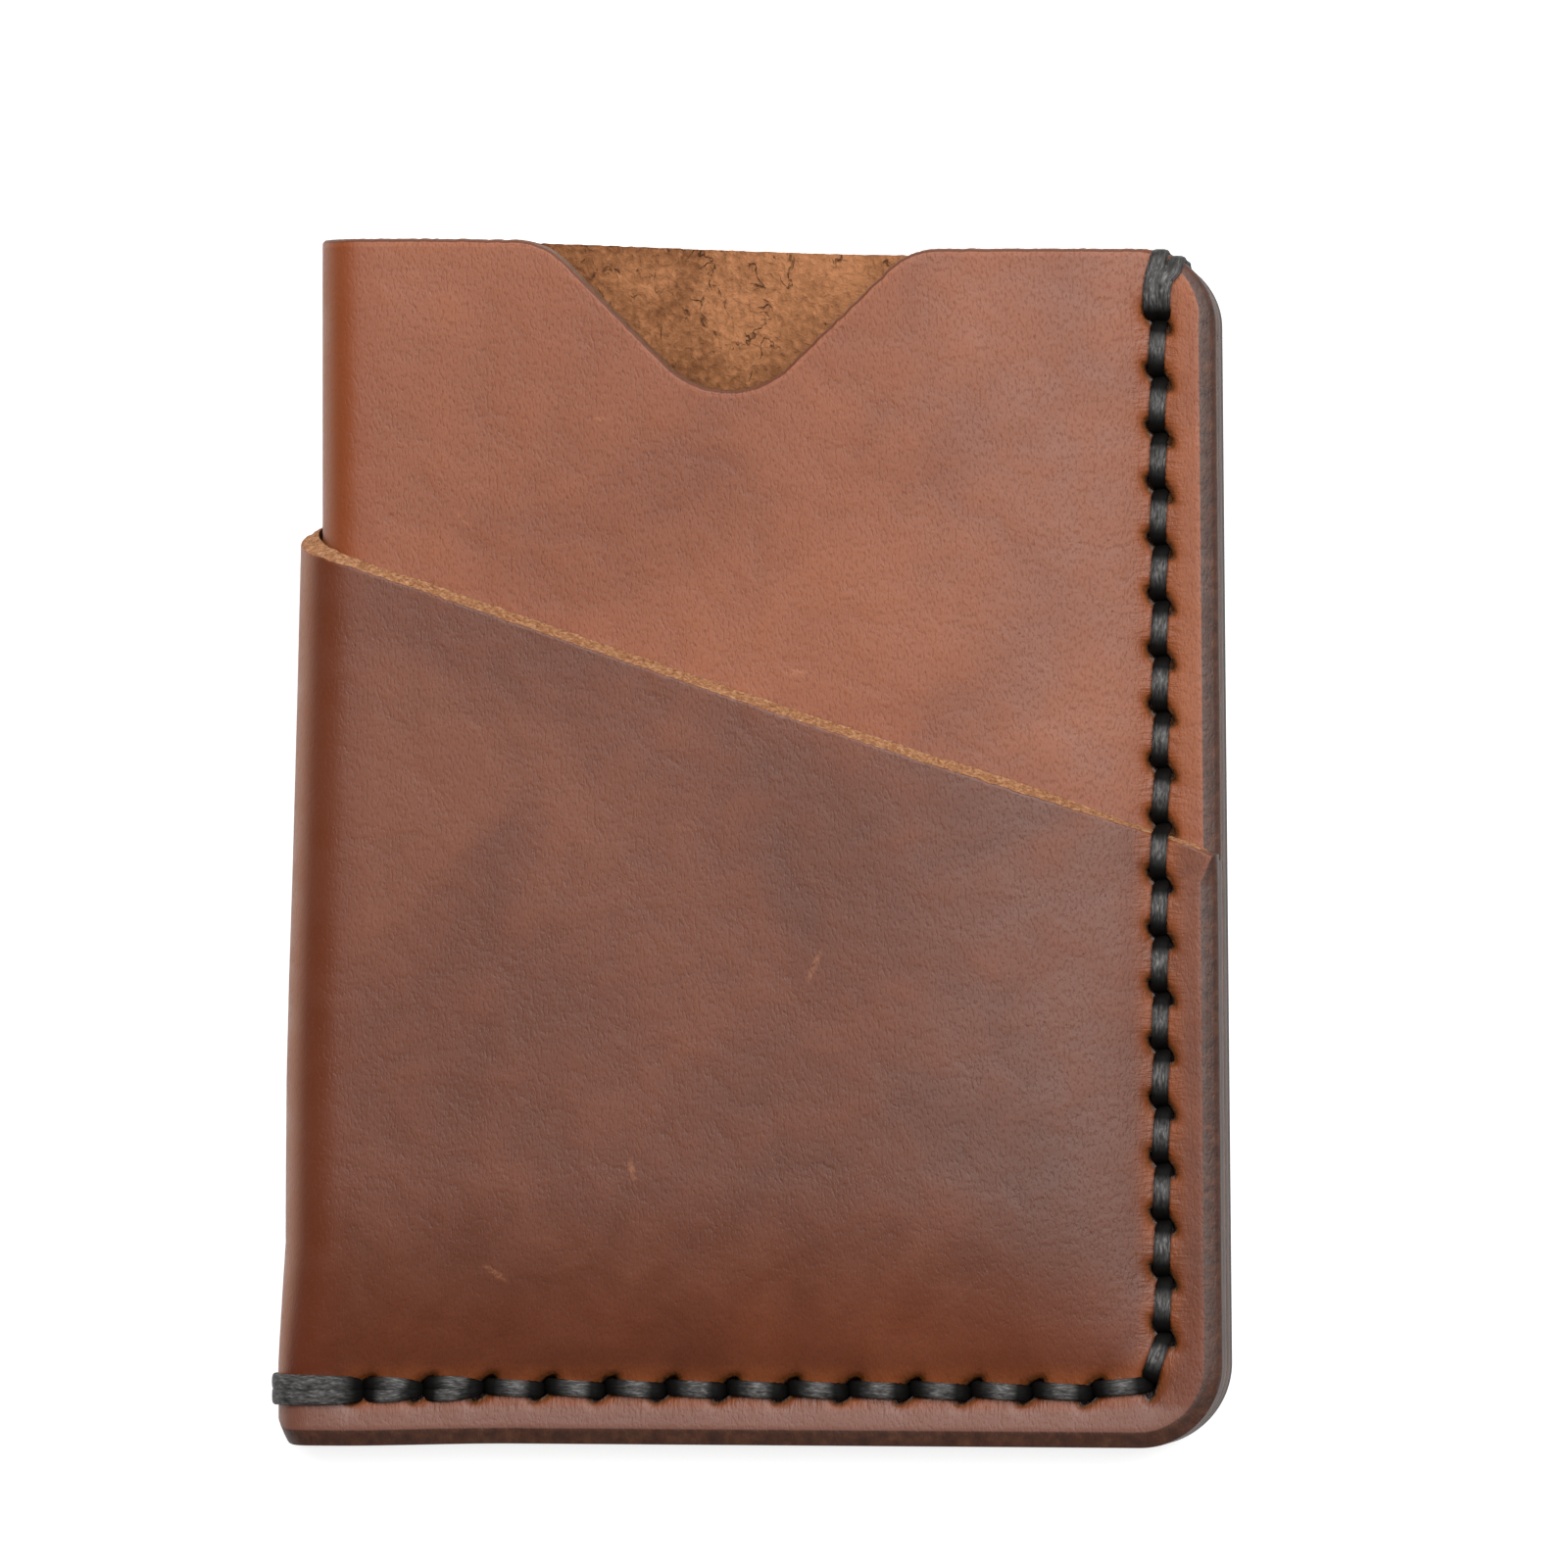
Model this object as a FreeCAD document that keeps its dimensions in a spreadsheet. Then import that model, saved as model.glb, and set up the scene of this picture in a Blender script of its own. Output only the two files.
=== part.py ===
"""Leather card holder: a folded inner sleeve, a folded outer wrap and one saddle-stitched thread.

The holder lies on its back. +X runs from the folds to the stitched side, +Y towards the pocket
mouths, +Z out of the front. Lengths are millimetres. Each sub-part is drawn from the lower corner
of the stitched side (X 0, Y 0, floor Z 0), and its Placement then centres the holder on the origin.
"""
import FreeCAD, Part
import math
import os
import re

from FreeCAD import Vector
from Sketcher import Constraint

# Driving dimensions, one row of the spreadsheet each.
SIZES = [
    ("leather", 1.5, "thickness of the leather"),
    ("glue", 0.2, "gap inside the sleeve where its two panels are sewn together"),
    ("play", 0.1, "gap between sleeve and wrap where they are not sewn"),
    ("belly_back", 0.9, "how far the back panels sag below the seam"),
    ("belly_front", 3.2, "how far the front panels rise above the seam"),
    ("tall", 101.5, "height of the holder"),
    ("sleeve_wide", 76.5, "stitched edge to the sleeve's open fold"),
    ("sleeve_wide_low", 77.6, "the same where the bottom seam pinches the fold flat"),
    ("wrap_wide", 78.3, "stitched edge to the wrap's fold at its mouth"),
    ("wrap_wide_belly", 79.9, "the same just above the bottom seam"),
    ("wrap_wide_low", 80.8, "the same at the bottom seam"),
    ("pinch_end", 6.5, "height up to which the bottom seam holds the panels flat"),
    ("belly_start", 17, "height from which the pocket stands fully open"),
    ("mouth_at_fold", 78, "height of the wrap's mouth at the back of the fold"),
    ("ramp_near", 8, "stitched edge to where the panels begin to part"),
    ("ramp_far", 30, "stitched edge to where the panels are fully apart"),
    ("rest_far", 70, "stitched edge to the far side of the flat that the back rests on"),
    ("corner_low", 7.8, "radius of the lower corner of the stitched side"),
    ("corner_high", 6.3, "radius of the upper corner of the stitched side"),
    ("mouth_low", 49.6, "height of the wrap's mouth at the stitched edge, in front"),
    ("mouth_slope", 0.3209, "rise of the mouth per millimetre along the unfolded leather"),
    ("notch_place", 41.3, "stitched edge to the middle of the thumb notch"),
    ("notch_depth", 12.2, "depth of the thumb notch"),
    ("notch_flank", 44, "slope of the notch's straight flanks, in degrees"),
    ("notch_bottom", 7.6, "radius of the notch's round bottom"),
    ("notch_shoulder", 5.9, "radius of the notch's two shoulders"),
    ("hole_wide", 2.3, "diameter of a stitch hole, which takes up to three passes of thread"),
    ("side_margin", 4.9, "stitched edge to the side row of holes"),
    ("side_first", 95.6, "height of the topmost hole"),
    ("side_pitch", 4.77, "distance between the holes of the side row"),
    ("side_count", 19, "holes in the side row"),
    ("turn_margin", 6.07, "stitched edge to the hole at the turn of the seam"),
    ("turn_height", 5.5, "height of the hole at the turn of the seam"),
    ("bottom_margin", 4.7, "height of the bottom row of holes"),
    ("bottom_first", 11, "stitched edge to the first hole of the bottom row"),
    ("bottom_pitch", 5.18, "distance between the holes of the bottom row"),
    ("bottom_count", 13, "holes in the bottom row"),
    ("thread_wide", 0.8, "diameter of the waxed thread"),
    ("thread_lane", 0.45, "seam's middle to the lane of each needle"),
    ("thread_step", 0.5, "hole's middle to where thread enters or leaves it along the seam"),
    ("thread_lift", 0.02, "clearance under thread that lies on the leather"),
    ("thread_tail", 1, "how far an end of the thread reaches into its hole"),
    ("thread_bend", 0.6, "radius of the thread's middle line where it turns into a hole"),
    ("edge_lift", 0.55, "top edge to the middle line of the thread that goes over it"),
]
NAMES = {alias for alias, _, _ in SIZES}

# Heights of the seam's layers, as expressions on the sheet.
SEAM_BACK = "(belly_back + play)"
SLEEVE_BACK = f"({SEAM_BACK} + leather)"
SLEEVE_FRONT = f"({SEAM_BACK} + 3 * leather + glue)"
SEAM_FRONT = f"({SEAM_BACK} + 4 * leather + glue)"
BELLY_FRONT = f"({SEAM_FRONT} + belly_front + play)"
SPARE = 2  # how far a cutting outline reaches past the leather
TOLERANCE = 1e-6
CENTRE = 3  # a sketch's name for the middle of an arc or circle; 1 and 2 are its ends


def make_sheet(doc):
    """Spreadsheet with one row per driving dimension: name, value, meaning."""
    sheet = doc.addObject("Spreadsheet::Sheet", "Sizes")
    for row, (alias, value, meaning) in enumerate(SIZES, start=1):
        sheet.set(f"A{row}", alias)
        sheet.set(f"B{row}", str(value))
        sheet.set(f"C{row}", meaning)
        sheet.setAlias(f"B{row}", alias)
    doc.recompute()
    return sheet


def on_sheet(text):
    """The expression with each size name turned into a reference to its cell."""
    return re.sub(r"[a-z_]+", lambda word: f"Sizes.{word[0]}" if word[0] in NAMES else word[0], text)


def worth(item, text):
    """Value of an expression on the sheet."""
    return float(item.evalExpression(on_sheet(text)))


# ---------------------------------------------------------------- sketches


def new_sketch(body, name, plane, offset):
    """Sketch on one of the body's own origin planes, moved along its normal by an expression."""
    planes = {item.Role: item for item in body.Origin.OriginFeatures}
    sketch = body.newObject("Sketcher::SketchObject", name)
    sketch.AttachmentSupport = (planes[plane], "")
    sketch.MapMode = "FlatFace"
    sketch.setExpression(".AttachmentOffset.Base.z", on_sheet(offset))
    return sketch


def bind(sketch, kind, edge, place, text):
    """Hold a coordinate of a point of an edge, or an arc's radius, at the value of an expression."""
    value = worth(sketch, text)
    if kind == "Radius":
        index = sketch.addConstraint(Constraint(kind, edge, value))
    else:
        index = sketch.addConstraint(Constraint(kind, -1, 1, edge, place, value))
    sketch.setExpression(f"Constraints[{index}]", on_sheet(text))


def draw_outline(sketch, corners):
    """Closed outline. Each corner is (x, y), and for a corner that an arc leaves also a point x, y
    of the arc and what holds it: DistanceX and its centre's x, or Radius and its radius."""
    places = [Vector(worth(sketch, x), worth(sketch, y), 0) for x, y, *_ in corners]
    edges = []
    for index, (_, _, *arc) in enumerate(corners):
        start = places[index]
        end = places[(index + 1) % len(places)]
        if arc:
            middle = Vector(worth(sketch, arc[0]), worth(sketch, arc[1]), 0)
            edge = sketch.addGeometry(Part.Arc(start, middle, end))
            swapped = sketch.getPoint(edge, 1).distanceToPoint(start) > TOLERANCE
        else:
            edge = sketch.addGeometry(Part.LineSegment(start, end))
            swapped = False
        edges.append((edge, 2 if swapped else 1, 1 if swapped else 2))
    for index, (edge, first, _) in enumerate(edges):
        before, _, last = edges[index - 1]
        x, y, *arc = corners[index]
        sketch.addConstraint(Constraint("Coincident", before, last, edge, first))
        bind(sketch, "DistanceX", edge, first, x)
        bind(sketch, "DistanceY", edge, first, y)
        if arc:
            bind(sketch, arc[2], edge, CENTRE, arc[3])


def draw_section(body, name, station, wide, low, high, seam_low, seam_high):
    """U-shaped section of a folded piece: open at the stitched edge and round at the fold.

    wide is the distance from stitched edge to fold; low and high are the outer faces of the two
    panels away from the seam, and seam_low and seam_high the same faces at the seam.
    """
    sketch = new_sketch(body, name, "XZ_Plane", f"-({station})")
    turn = f"(({high}) - ({low})) / 2 - {wide}"
    middle = f"(({high}) + ({low})) / 2"
    near = "-ramp_near"
    far = "-ramp_far"
    outer = [
        ("0", seam_low),
        (near, seam_low),
        (far, low),
        ("-rest_far", low),
        (turn, low, f"-{wide}", middle, "DistanceX", turn),
        (turn, high),
        (far, high),
        (near, seam_high),
        ("0", seam_high),
    ]
    inner = [
        ("0", f"{seam_high} - leather"),
        (near, f"{seam_high} - leather"),
        (far, f"{high} - leather"),
        (turn, f"{high} - leather", f"leather - {wide}", middle, "DistanceX", turn),
        (turn, f"{low} + leather"),
        (far, f"{low} + leather"),
        (near, f"{seam_low} + leather"),
        ("0", f"{seam_low} + leather"),
    ]
    draw_outline(sketch, outer + inner)
    return sketch


# ---------------------------------------------------------------- leather features


def loft_body(doc, name, stations):
    """Body of one folded piece, lofted through its sections from the bottom to the top."""
    body = doc.addObject("PartDesign::Body", name)
    body.Label = name
    sections = [
        draw_section(body, f"{name}_section_{index}", *station)
        for index, station in enumerate(stations)
    ]
    doc.recompute()
    loft = body.newObject("PartDesign::AdditiveLoft", f"{name}_folded")
    loft.Profile = sections[0]
    loft.Sections = sections[1:]
    loft.Ruled = True
    doc.recompute()
    return body


def cut(body, sketch, name, direction="both"):
    """Pocket right through, up or down from the sketch or both ways; it must remove leather."""
    before = body.Shape.Volume
    pocket = body.newObject("PartDesign::Pocket", name)
    pocket.Profile = sketch
    pocket.SideType = "Symmetric" if direction == "both" else "One side"
    pocket.Reversed = direction == "up"
    pocket.setExpression("Length", on_sheet("2 * tall"))
    body.Document.recompute()
    if body.Shape.Volume > before - TOLERANCE:
        raise RuntimeError(f"{name} removes no leather")
    return pocket


def round_corner(body, name, height, radius, up):
    """Round one corner of the stitched side: the upper one if up is 1, the lower one if it is -1."""
    sketch = new_sketch(body, f"{name}_outline", "XY_Plane", "0")
    inset = f"{radius} * (1 - sqrt(0.5))"
    arc = (f"-{inset}", f"{height} - {up} * {inset}", "Radius", radius)
    corners = [
        ("0", f"{height} - {up} * {radius}", *arc),
        (f"-{radius}", height),
        (f"-{radius}", f"{height} + {up * SPARE}"),
        (f"{SPARE}", f"{height} + {up * SPARE}"),
        (f"{SPARE}", f"{height} - {up} * {radius}"),
    ]
    draw_outline(sketch, corners)
    cut(body, sketch, name)


def drill(body, name, x, y):
    """One stitch hole. Returns its pocket and its sketch."""
    sketch = new_sketch(body, f"{name}_place", "XY_Plane", "0")
    centre = Vector(worth(sketch, x), worth(sketch, y), 0)
    circle = sketch.addGeometry(Part.Circle(centre, Vector(0, 0, 1), 1))
    bind(sketch, "DistanceX", circle, CENTRE, x)
    bind(sketch, "DistanceY", circle, CENTRE, y)
    bind(sketch, "Radius", circle, CENTRE, "hole_wide / 2")
    return cut(body, sketch, name), sketch


def drill_row(body, name, x, y, axis, pitch, count):
    """A row of stitch holes that runs down or to the left from its first hole."""
    hole, sketch = drill(body, name, x, y)
    before = body.Shape.Volume
    row = body.newObject("PartDesign::LinearPattern", f"{name}_row")
    row.Originals = [hole]
    row.Direction = (sketch, [axis])
    row.Reversed = True
    row.setExpression("Length", on_sheet(f"{pitch} * ({count} - 1)"))
    row.setExpression("Occurrences", on_sheet(count))
    body.Tip = row
    body.Document.recompute()
    if body.Shape.Volume > before - TOLERANCE:
        raise RuntimeError(f"{name} row removes no leather")


def drill_seam(body, name):
    """All stitch holes: the side row, the one at the turn and the bottom row."""
    drill_row(
        body, f"{name}_side_hole", "-side_margin", "side_first", "V_Axis", "side_pitch", "side_count"
    )
    drill(body, f"{name}_turn_hole", "-turn_margin", "turn_height")
    drill_row(
        body,
        f"{name}_bottom_hole",
        "-bottom_first",
        "bottom_margin",
        "H_Axis",
        "bottom_pitch",
        "bottom_count",
    )


# ---------------------------------------------------------------- the two leather pieces


def make_sleeve(doc):
    """Inner sleeve: one piece folded on itself, with a thumb notch in its front panel."""
    pinched = (SLEEVE_BACK, SLEEVE_FRONT, SLEEVE_BACK, SLEEVE_FRONT)
    opened = (
        f"({SLEEVE_BACK} - belly_back)",
        f"({SLEEVE_FRONT} + belly_front)",
        SLEEVE_BACK,
        SLEEVE_FRONT,
    )
    stations = [
        ("0", "sleeve_wide_low", *pinched),
        ("pinch_end", "sleeve_wide_low", *pinched),
        ("belly_start", "sleeve_wide", *opened),
        ("tall", "sleeve_wide", *opened),
    ]
    body = loft_body(doc, "inner_sleeve", stations)
    cut_notch(body)
    round_corner(body, "sleeve_low_corner", "0", "corner_low", -1)
    round_corner(body, "sleeve_high_corner", "tall", "corner_high", 1)
    drill_seam(body, "sleeve")
    return body


def cut_notch(body):
    """Bell-shaped thumb notch: a round bottom, two straight flanks and two rounded shoulders."""
    sketch = new_sketch(body, "notch_outline", "XY_Plane", f"{SLEEVE_BACK} + leather + glue / 2")
    rise = "(1 / cos(notch_flank) - 1)"
    half = f"(notch_depth + (notch_bottom + notch_shoulder) * {rise}) / tan(notch_flank)"
    bottom_x = "notch_bottom * sin(notch_flank)"
    bottom_y = "tall - notch_depth + notch_bottom * (1 - cos(notch_flank))"
    shoulder_x = f"({half} - notch_shoulder * sin(notch_flank))"
    shoulder_y = "tall - notch_shoulder * (1 - cos(notch_flank))"
    crown_x = f"({half} - notch_shoulder * sin(notch_flank / 2))"
    crown_y = "tall - notch_shoulder * (1 - cos(notch_flank / 2))"
    middle = "-notch_place"
    corners = [
        (f"{middle} - {bottom_x}", bottom_y, middle, "tall - notch_depth", "Radius", "notch_bottom"),
        (f"{middle} + {bottom_x}", bottom_y),
        (
            f"{middle} + {shoulder_x}",
            shoulder_y,
            f"{middle} + {crown_x}",
            crown_y,
            "Radius",
            "notch_shoulder",
        ),
        (f"{middle} + {half}", "tall"),
        (f"{middle} + {half}", f"tall + {SPARE}"),
        (f"{middle} - {half}", f"tall + {SPARE}"),
        (
            f"{middle} - {half}",
            "tall",
            f"{middle} - {crown_x}",
            crown_y,
            "Radius",
            "notch_shoulder",
        ),
        (f"{middle} - {shoulder_x}", shoulder_y),
    ]
    draw_outline(sketch, corners)
    cut(body, sketch, "thumb_notch", "up")


def make_wrap(doc):
    """Outer wrap: one piece folded round the sleeve, its mouth one slanted straight cut."""
    pinched = (SEAM_BACK, SEAM_FRONT, SEAM_BACK, SEAM_FRONT)
    opened = ("0", BELLY_FRONT, SEAM_BACK, SEAM_FRONT)
    stations = [
        ("0", "wrap_wide_low", *pinched),
        ("pinch_end", "wrap_wide_low", *pinched),
        ("belly_start", "wrap_wide_belly", *opened),
        ("mouth_at_fold", "wrap_wide", *opened),
        ("tall", "wrap_wide", *opened),
    ]
    body = loft_body(doc, "outer_wrap", stations)
    cut_mouth(body)
    round_corner(body, "wrap_low_corner", "0", "corner_low", -1)
    round_corner(body, "wrap_high_corner", "tall", "corner_high", 1)
    drill_seam(body, "wrap")
    return body


def cut_mouth(body):
    """The mouth's cut is straight on the unfolded leather: it climbs across the front, round the
    fold and on across the back, where it meets the top edge at the stitched side."""
    turn = f"(wrap_wide - {BELLY_FRONT} / 2)"
    quarter = f"({BELLY_FRONT} / 2 - leather / 2) * pi / 2"
    front_turn = f"(mouth_low + mouth_slope * {turn})"
    side = f"({front_turn} + mouth_slope * {quarter})"
    back_turn = f"({side} + mouth_slope * {quarter})"
    past = f"-(wrap_wide_belly + {SPARE})"
    front = [
        (f"{SPARE}", f"mouth_low - mouth_slope * {SPARE}"),
        (f"-{turn}", front_turn),
        ("-wrap_wide", side),
        (past, side),
        (past, f"tall + {SPARE}"),
        (f"{SPARE}", f"tall + {SPARE}"),
    ]
    back = [
        (f"{SPARE}", f"{back_turn} + mouth_slope * ({turn} + {SPARE})"),
        (f"-{turn}", back_turn),
        ("-wrap_wide", side),
        (past, side),
        (past, f"tall + {2 * SPARE}"),
        (f"{SPARE}", f"tall + {2 * SPARE}"),
    ]
    for name, corners, direction in (("front_mouth", front, "up"), ("back_mouth", back, "down")):
        sketch = new_sketch(body, f"{name}_outline", "XY_Plane", f"{BELLY_FRONT} / 2")
        draw_outline(sketch, corners)
        cut(body, sketch, name, direction)


# ---------------------------------------------------------------- the thread


class Seam:
    """Where the stitch holes are, and the levels and lanes on which the thread runs."""

    def __init__(self, sheet):
        def size(text):
            return worth(sheet, text)

        self.size = size
        lift = "(thread_lift + thread_wide / 2)"
        self.back = size(f"{SEAM_BACK} - {lift}")
        self.on_sleeve = size(f"{SLEEVE_FRONT} + {lift}")
        self.on_wrap = size(f"{SEAM_FRONT} + {lift}")
        self.tail = size("thread_tail")
        self.bend = size("thread_bend")
        self.step = size("thread_step")
        self.lane = size("thread_lane")
        side = [
            Vector(-size("side_margin"), size("side_first") - size("side_pitch") * index, 0)
            for index in range(int(size("side_count")))
        ]
        turn = Vector(-size("turn_margin"), size("turn_height"), 0)
        bottom = [
            Vector(-size("bottom_first") - size("bottom_pitch") * index, size("bottom_margin"), 0)
            for index in range(int(size("bottom_count")))
        ]
        self.holes = side + [turn] + bottom
        self.last = len(self.holes) - 1

    def front(self, stitch):
        """Level of a front stitch: on the wrap if it ends below the mouth, else on the sleeve."""
        mouth = self.size("mouth_low + mouth_slope * side_margin")
        return self.on_wrap if self.holes[stitch + 1].y < mouth else self.on_sleeve

    def end(self, hole, lane, level, step):
        """End of the thread, a little way into a hole from the given level."""
        inwards = self.tail if level == self.back else -self.tail
        return self.point(hole, lane, level + inwards, step)

    def point(self, hole, lane, level, step):
        """Point over a hole: lane is 1 outside and -1 inside the seam's middle; step is -1 where
        thread arrives from the top of the seam and 1 where it leaves for the bottom-left end."""
        before = self.holes[max(hole - 1, 0)]
        after = self.holes[min(hole + 1, self.last)]
        along = (after - before).normalize()
        across = Vector(-along.y, along.x, 0)
        place = self.holes[hole] + across * (lane * self.lane) + along * (step * self.step)
        return Vector(place.x, place.y, level)


def needle_route(seam, lane, starts_in_front):
    """Corners and bend radii of one needle's half of the thread, from the topmost hole on."""
    front = seam.front(0)
    first, second = (front, seam.back) if starts_in_front else (seam.back, front)
    start = seam.point(0, lane, first, -1)
    over = seam.size("tall + edge_lift")
    route = [
        (start, seam.bend),
        (Vector(start.x, over, first), seam.bend),
        (Vector(start.x, over, second), seam.bend),
        (seam.point(0, lane, second, 1), seam.bend),
    ]
    in_front = starts_in_front
    for stitch in range(seam.last):
        level = seam.front(stitch) if in_front else seam.back
        route.append((seam.point(stitch, lane, level, 1), seam.bend))
        if stitch + 1 < seam.last:
            route.append((seam.point(stitch + 1, lane, level, -1), seam.bend))
            in_front = not in_front
    round_fold = seam.size(f"({SEAM_FRONT} - {SEAM_BACK}) / 2 + thread_lift + thread_wide / 2")
    past_fold = seam.size("-(wrap_wide_low + thread_lift + thread_wide / 2)")
    near, far = (seam.on_wrap, seam.back) if in_front else (seam.back, seam.on_wrap)
    lane_y = seam.point(seam.last, lane, near, 0).y
    route.append((Vector(past_fold, lane_y, near), round_fold))
    route.append((Vector(past_fold, lane_y, far), round_fold))
    route.append((seam.point(seam.last, lane, far, 1), seam.bend))
    route.append((seam.end(seam.last, lane, far, 1), seam.bend))
    return route


def tube(route, diameter):
    """Round tube along straight runs joined by tangent arcs, checked against section x length."""
    edges = []
    place = route[0][0]
    for (before, _), (corner, radius), (after, _) in zip(route, route[1:], route[2:]):
        back = (before - corner).normalize()
        ahead = (after - corner).normalize()
        half = back.getAngle(ahead) / 2
        reach = radius / math.tan(half)
        centre = corner + (back + ahead).normalize() * (radius / math.sin(half))
        start = corner + back * reach
        end = corner + ahead * reach
        middle = centre + (corner - centre).normalize() * radius
        if place.distanceToPoint(start) > TOLERANCE:
            edges.append(Part.LineSegment(place, start).toShape())
        edges.append(Part.Arc(start, middle, end).toShape())
        place = end
    edges.append(Part.LineSegment(place, route[-1][0]).toShape())
    spine = Part.Wire(edges)
    heading = route[1][0] - route[0][0]
    circle = Part.Wire(Part.Circle(route[0][0], heading, diameter / 2).toShape())
    solid = spine.makePipeShell([circle], True, True)
    expected = spine.Length * math.pi * diameter**2 / 4
    if abs(solid.Volume / expected - 1) > 0.005:
        raise RuntimeError(f"thread volume {solid.Volume:.2f} instead of {expected:.2f}")
    print(f"thread length {spine.Length:.1f}, smallest radius {min(r for _, r in route[1:-1])}")
    return solid


def lock_stitch(seam, hole, lane, level):
    """Doubling stitch between two holes at the seam's end; both of its ends stop inside a hole."""
    return [
        (seam.end(hole, lane, level, -1), seam.bend),
        (seam.point(hole, lane, level, -1), seam.bend),
        (seam.point(hole - 1, lane, level, 1), seam.bend),
        (seam.end(hole - 1, lane, level, 1), seam.bend),
    ]


def make_thread(doc, sheet):
    """Waxed thread, one length sewn with a needle at each end, and its doubling stitches."""
    seam = Seam(sheet)
    outside = needle_route(seam, 1, True)
    inside = needle_route(seam, -1, False)
    diameter = seam.size("thread_wide")
    pieces = [tube(inside[::-1] + outside, diameter)]
    last = seam.last
    outside_behind = last % 2 == 0
    for hole, lane in ((last, 1), (last - 1, -1)):
        front_lane = lane if outside_behind else -lane
        pieces.append(tube(lock_stitch(seam, hole, front_lane, seam.on_wrap), diameter))
        pieces.append(tube(lock_stitch(seam, hole, -front_lane, seam.back), diameter))
    thread = doc.addObject("Part::Feature", "saddle_thread")
    thread.Label = "saddle_thread"
    thread.Shape = Part.Compound(pieces)
    return thread


# ---------------------------------------------------------------- assembly


def place(part):
    """Centre the holder on the origin; it rests on the floor already."""
    reach = "(wrap_wide_low + thread_lift + thread_wide)"
    part.setExpression(".Placement.Base.x", on_sheet(f"{reach} / 2"))
    part.setExpression(".Placement.Base.y", on_sheet("-(tall + edge_lift + thread_wide / 2) / 2"))


def main():
    doc = FreeCAD.newDocument("card_holder")
    sheet = make_sheet(doc)
    parts = [make_sleeve(doc), make_wrap(doc), make_thread(doc, sheet)]
    for part in parts:
        place(part)
    doc.recompute()
    for item in doc.Objects:
        if "Invalid" in item.State or "Error" in item.State:
            raise RuntimeError(f"{item.Name} failed: {item.State}")
    os.makedirs("parts", exist_ok=True)
    for part in parts:
        if part.Shape.isNull() or not part.Shape.isValid():
            raise RuntimeError(f"{part.Label} has no valid shape")
    for part in parts:
        part.Shape.exportStep(f"parts/{part.Label}.step")
        box = part.Shape.BoundBox
        print(part.Label, len(part.Shape.Solids), "solids", round(part.Shape.Volume, 1), "mm3", box)


main()
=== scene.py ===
"""Looks of the leather card holder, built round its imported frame.

Shapes are worked out in millimetres in drawing coordinates: D is the distance from the stitched
edge towards the fold, y the height above the bottom edge and z the height above the floor. A
leather piece also has flat coordinates: s runs along the unfolded leather from the stitched edge
of the front, round the fold, to the stitched edge of the back, and t is the height y.
"""

import math

import bpy
import numpy as np
from mathutils import Matrix, Vector, kdtree, noise
from mathutils.geometry import delaunay_2d_cdt


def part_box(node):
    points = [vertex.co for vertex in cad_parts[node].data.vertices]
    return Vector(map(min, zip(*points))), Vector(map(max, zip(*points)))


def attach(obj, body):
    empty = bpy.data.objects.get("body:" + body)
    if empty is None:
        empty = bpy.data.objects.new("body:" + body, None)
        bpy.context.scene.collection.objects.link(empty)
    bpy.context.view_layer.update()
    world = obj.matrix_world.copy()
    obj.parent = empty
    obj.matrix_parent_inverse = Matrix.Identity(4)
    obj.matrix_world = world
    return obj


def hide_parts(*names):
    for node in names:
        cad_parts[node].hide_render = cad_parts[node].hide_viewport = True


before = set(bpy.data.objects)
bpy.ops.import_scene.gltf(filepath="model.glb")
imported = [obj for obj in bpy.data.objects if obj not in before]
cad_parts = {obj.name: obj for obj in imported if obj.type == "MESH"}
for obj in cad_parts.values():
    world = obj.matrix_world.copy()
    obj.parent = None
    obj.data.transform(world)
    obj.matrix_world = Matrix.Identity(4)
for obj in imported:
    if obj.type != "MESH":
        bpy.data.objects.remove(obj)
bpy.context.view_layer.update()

MM = 0.001
SLEEVE_LOW, SLEEVE_HIGH = (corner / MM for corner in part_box("inner_sleeve"))
WRAP_LOW, WRAP_HIGH = (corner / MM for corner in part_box("outer_wrap"))
EDGE = SLEEVE_HIGH.x  # stitched edge
FOOT = SLEEVE_LOW.y  # bottom edge
TALL = SLEEVE_HIGH.y - SLEEVE_LOW.y

LEATHER = 1.5
WRAP_SEAM = (1.0, 7.2)  # outer faces of the wrap where it is sewn
SLEEVE_SEAM = (2.5, 5.7)  # outer faces of the sleeve where it is sewn
PINCH_END, BELLY_START = 6.5, 17  # heights between which the fold opens
PILLOW_LOW, PILLOW_HIGH = 5.3, 23  # heights between which the panels part over the bottom seam
RAMP_NEAR, RAMP_FAR = 5.8, 31  # distances between which the panels part beside the side seam
CORNER_LOW, CORNER_HIGH = 7.1, 6.3  # radii of the corners of the stitched side
MOUTH_LOW, MOUTH_SLOPE = 50.05, 0.3262  # the wrap's mouth, straight on the flat leather
NOTCH_PLACE, NOTCH_DEPTH, NOTCH_FLANK = 41.3, 12.2, math.radians(44)
NOTCH_BOTTOM, NOTCH_SHOULDER = 7.6, 5.9
NOTCH_END = NOTCH_PLACE + 20  # a place on the level edge beyond the notch
LEAN = 0.95  # how far the top of the sewn edge leans towards the fold
DROOP = 1.12  # how far the top edge sinks from the fold to the sewn edge
LIFT = 0.30  # how far the bottom edge rises from the fold to the sewn edge
SLACK = 0.35  # how far the top edge of the back sits under that of the front
SPREAD = 0.05  # how far the back layers of the sewn edge stand out under the front ones, per mm

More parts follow.
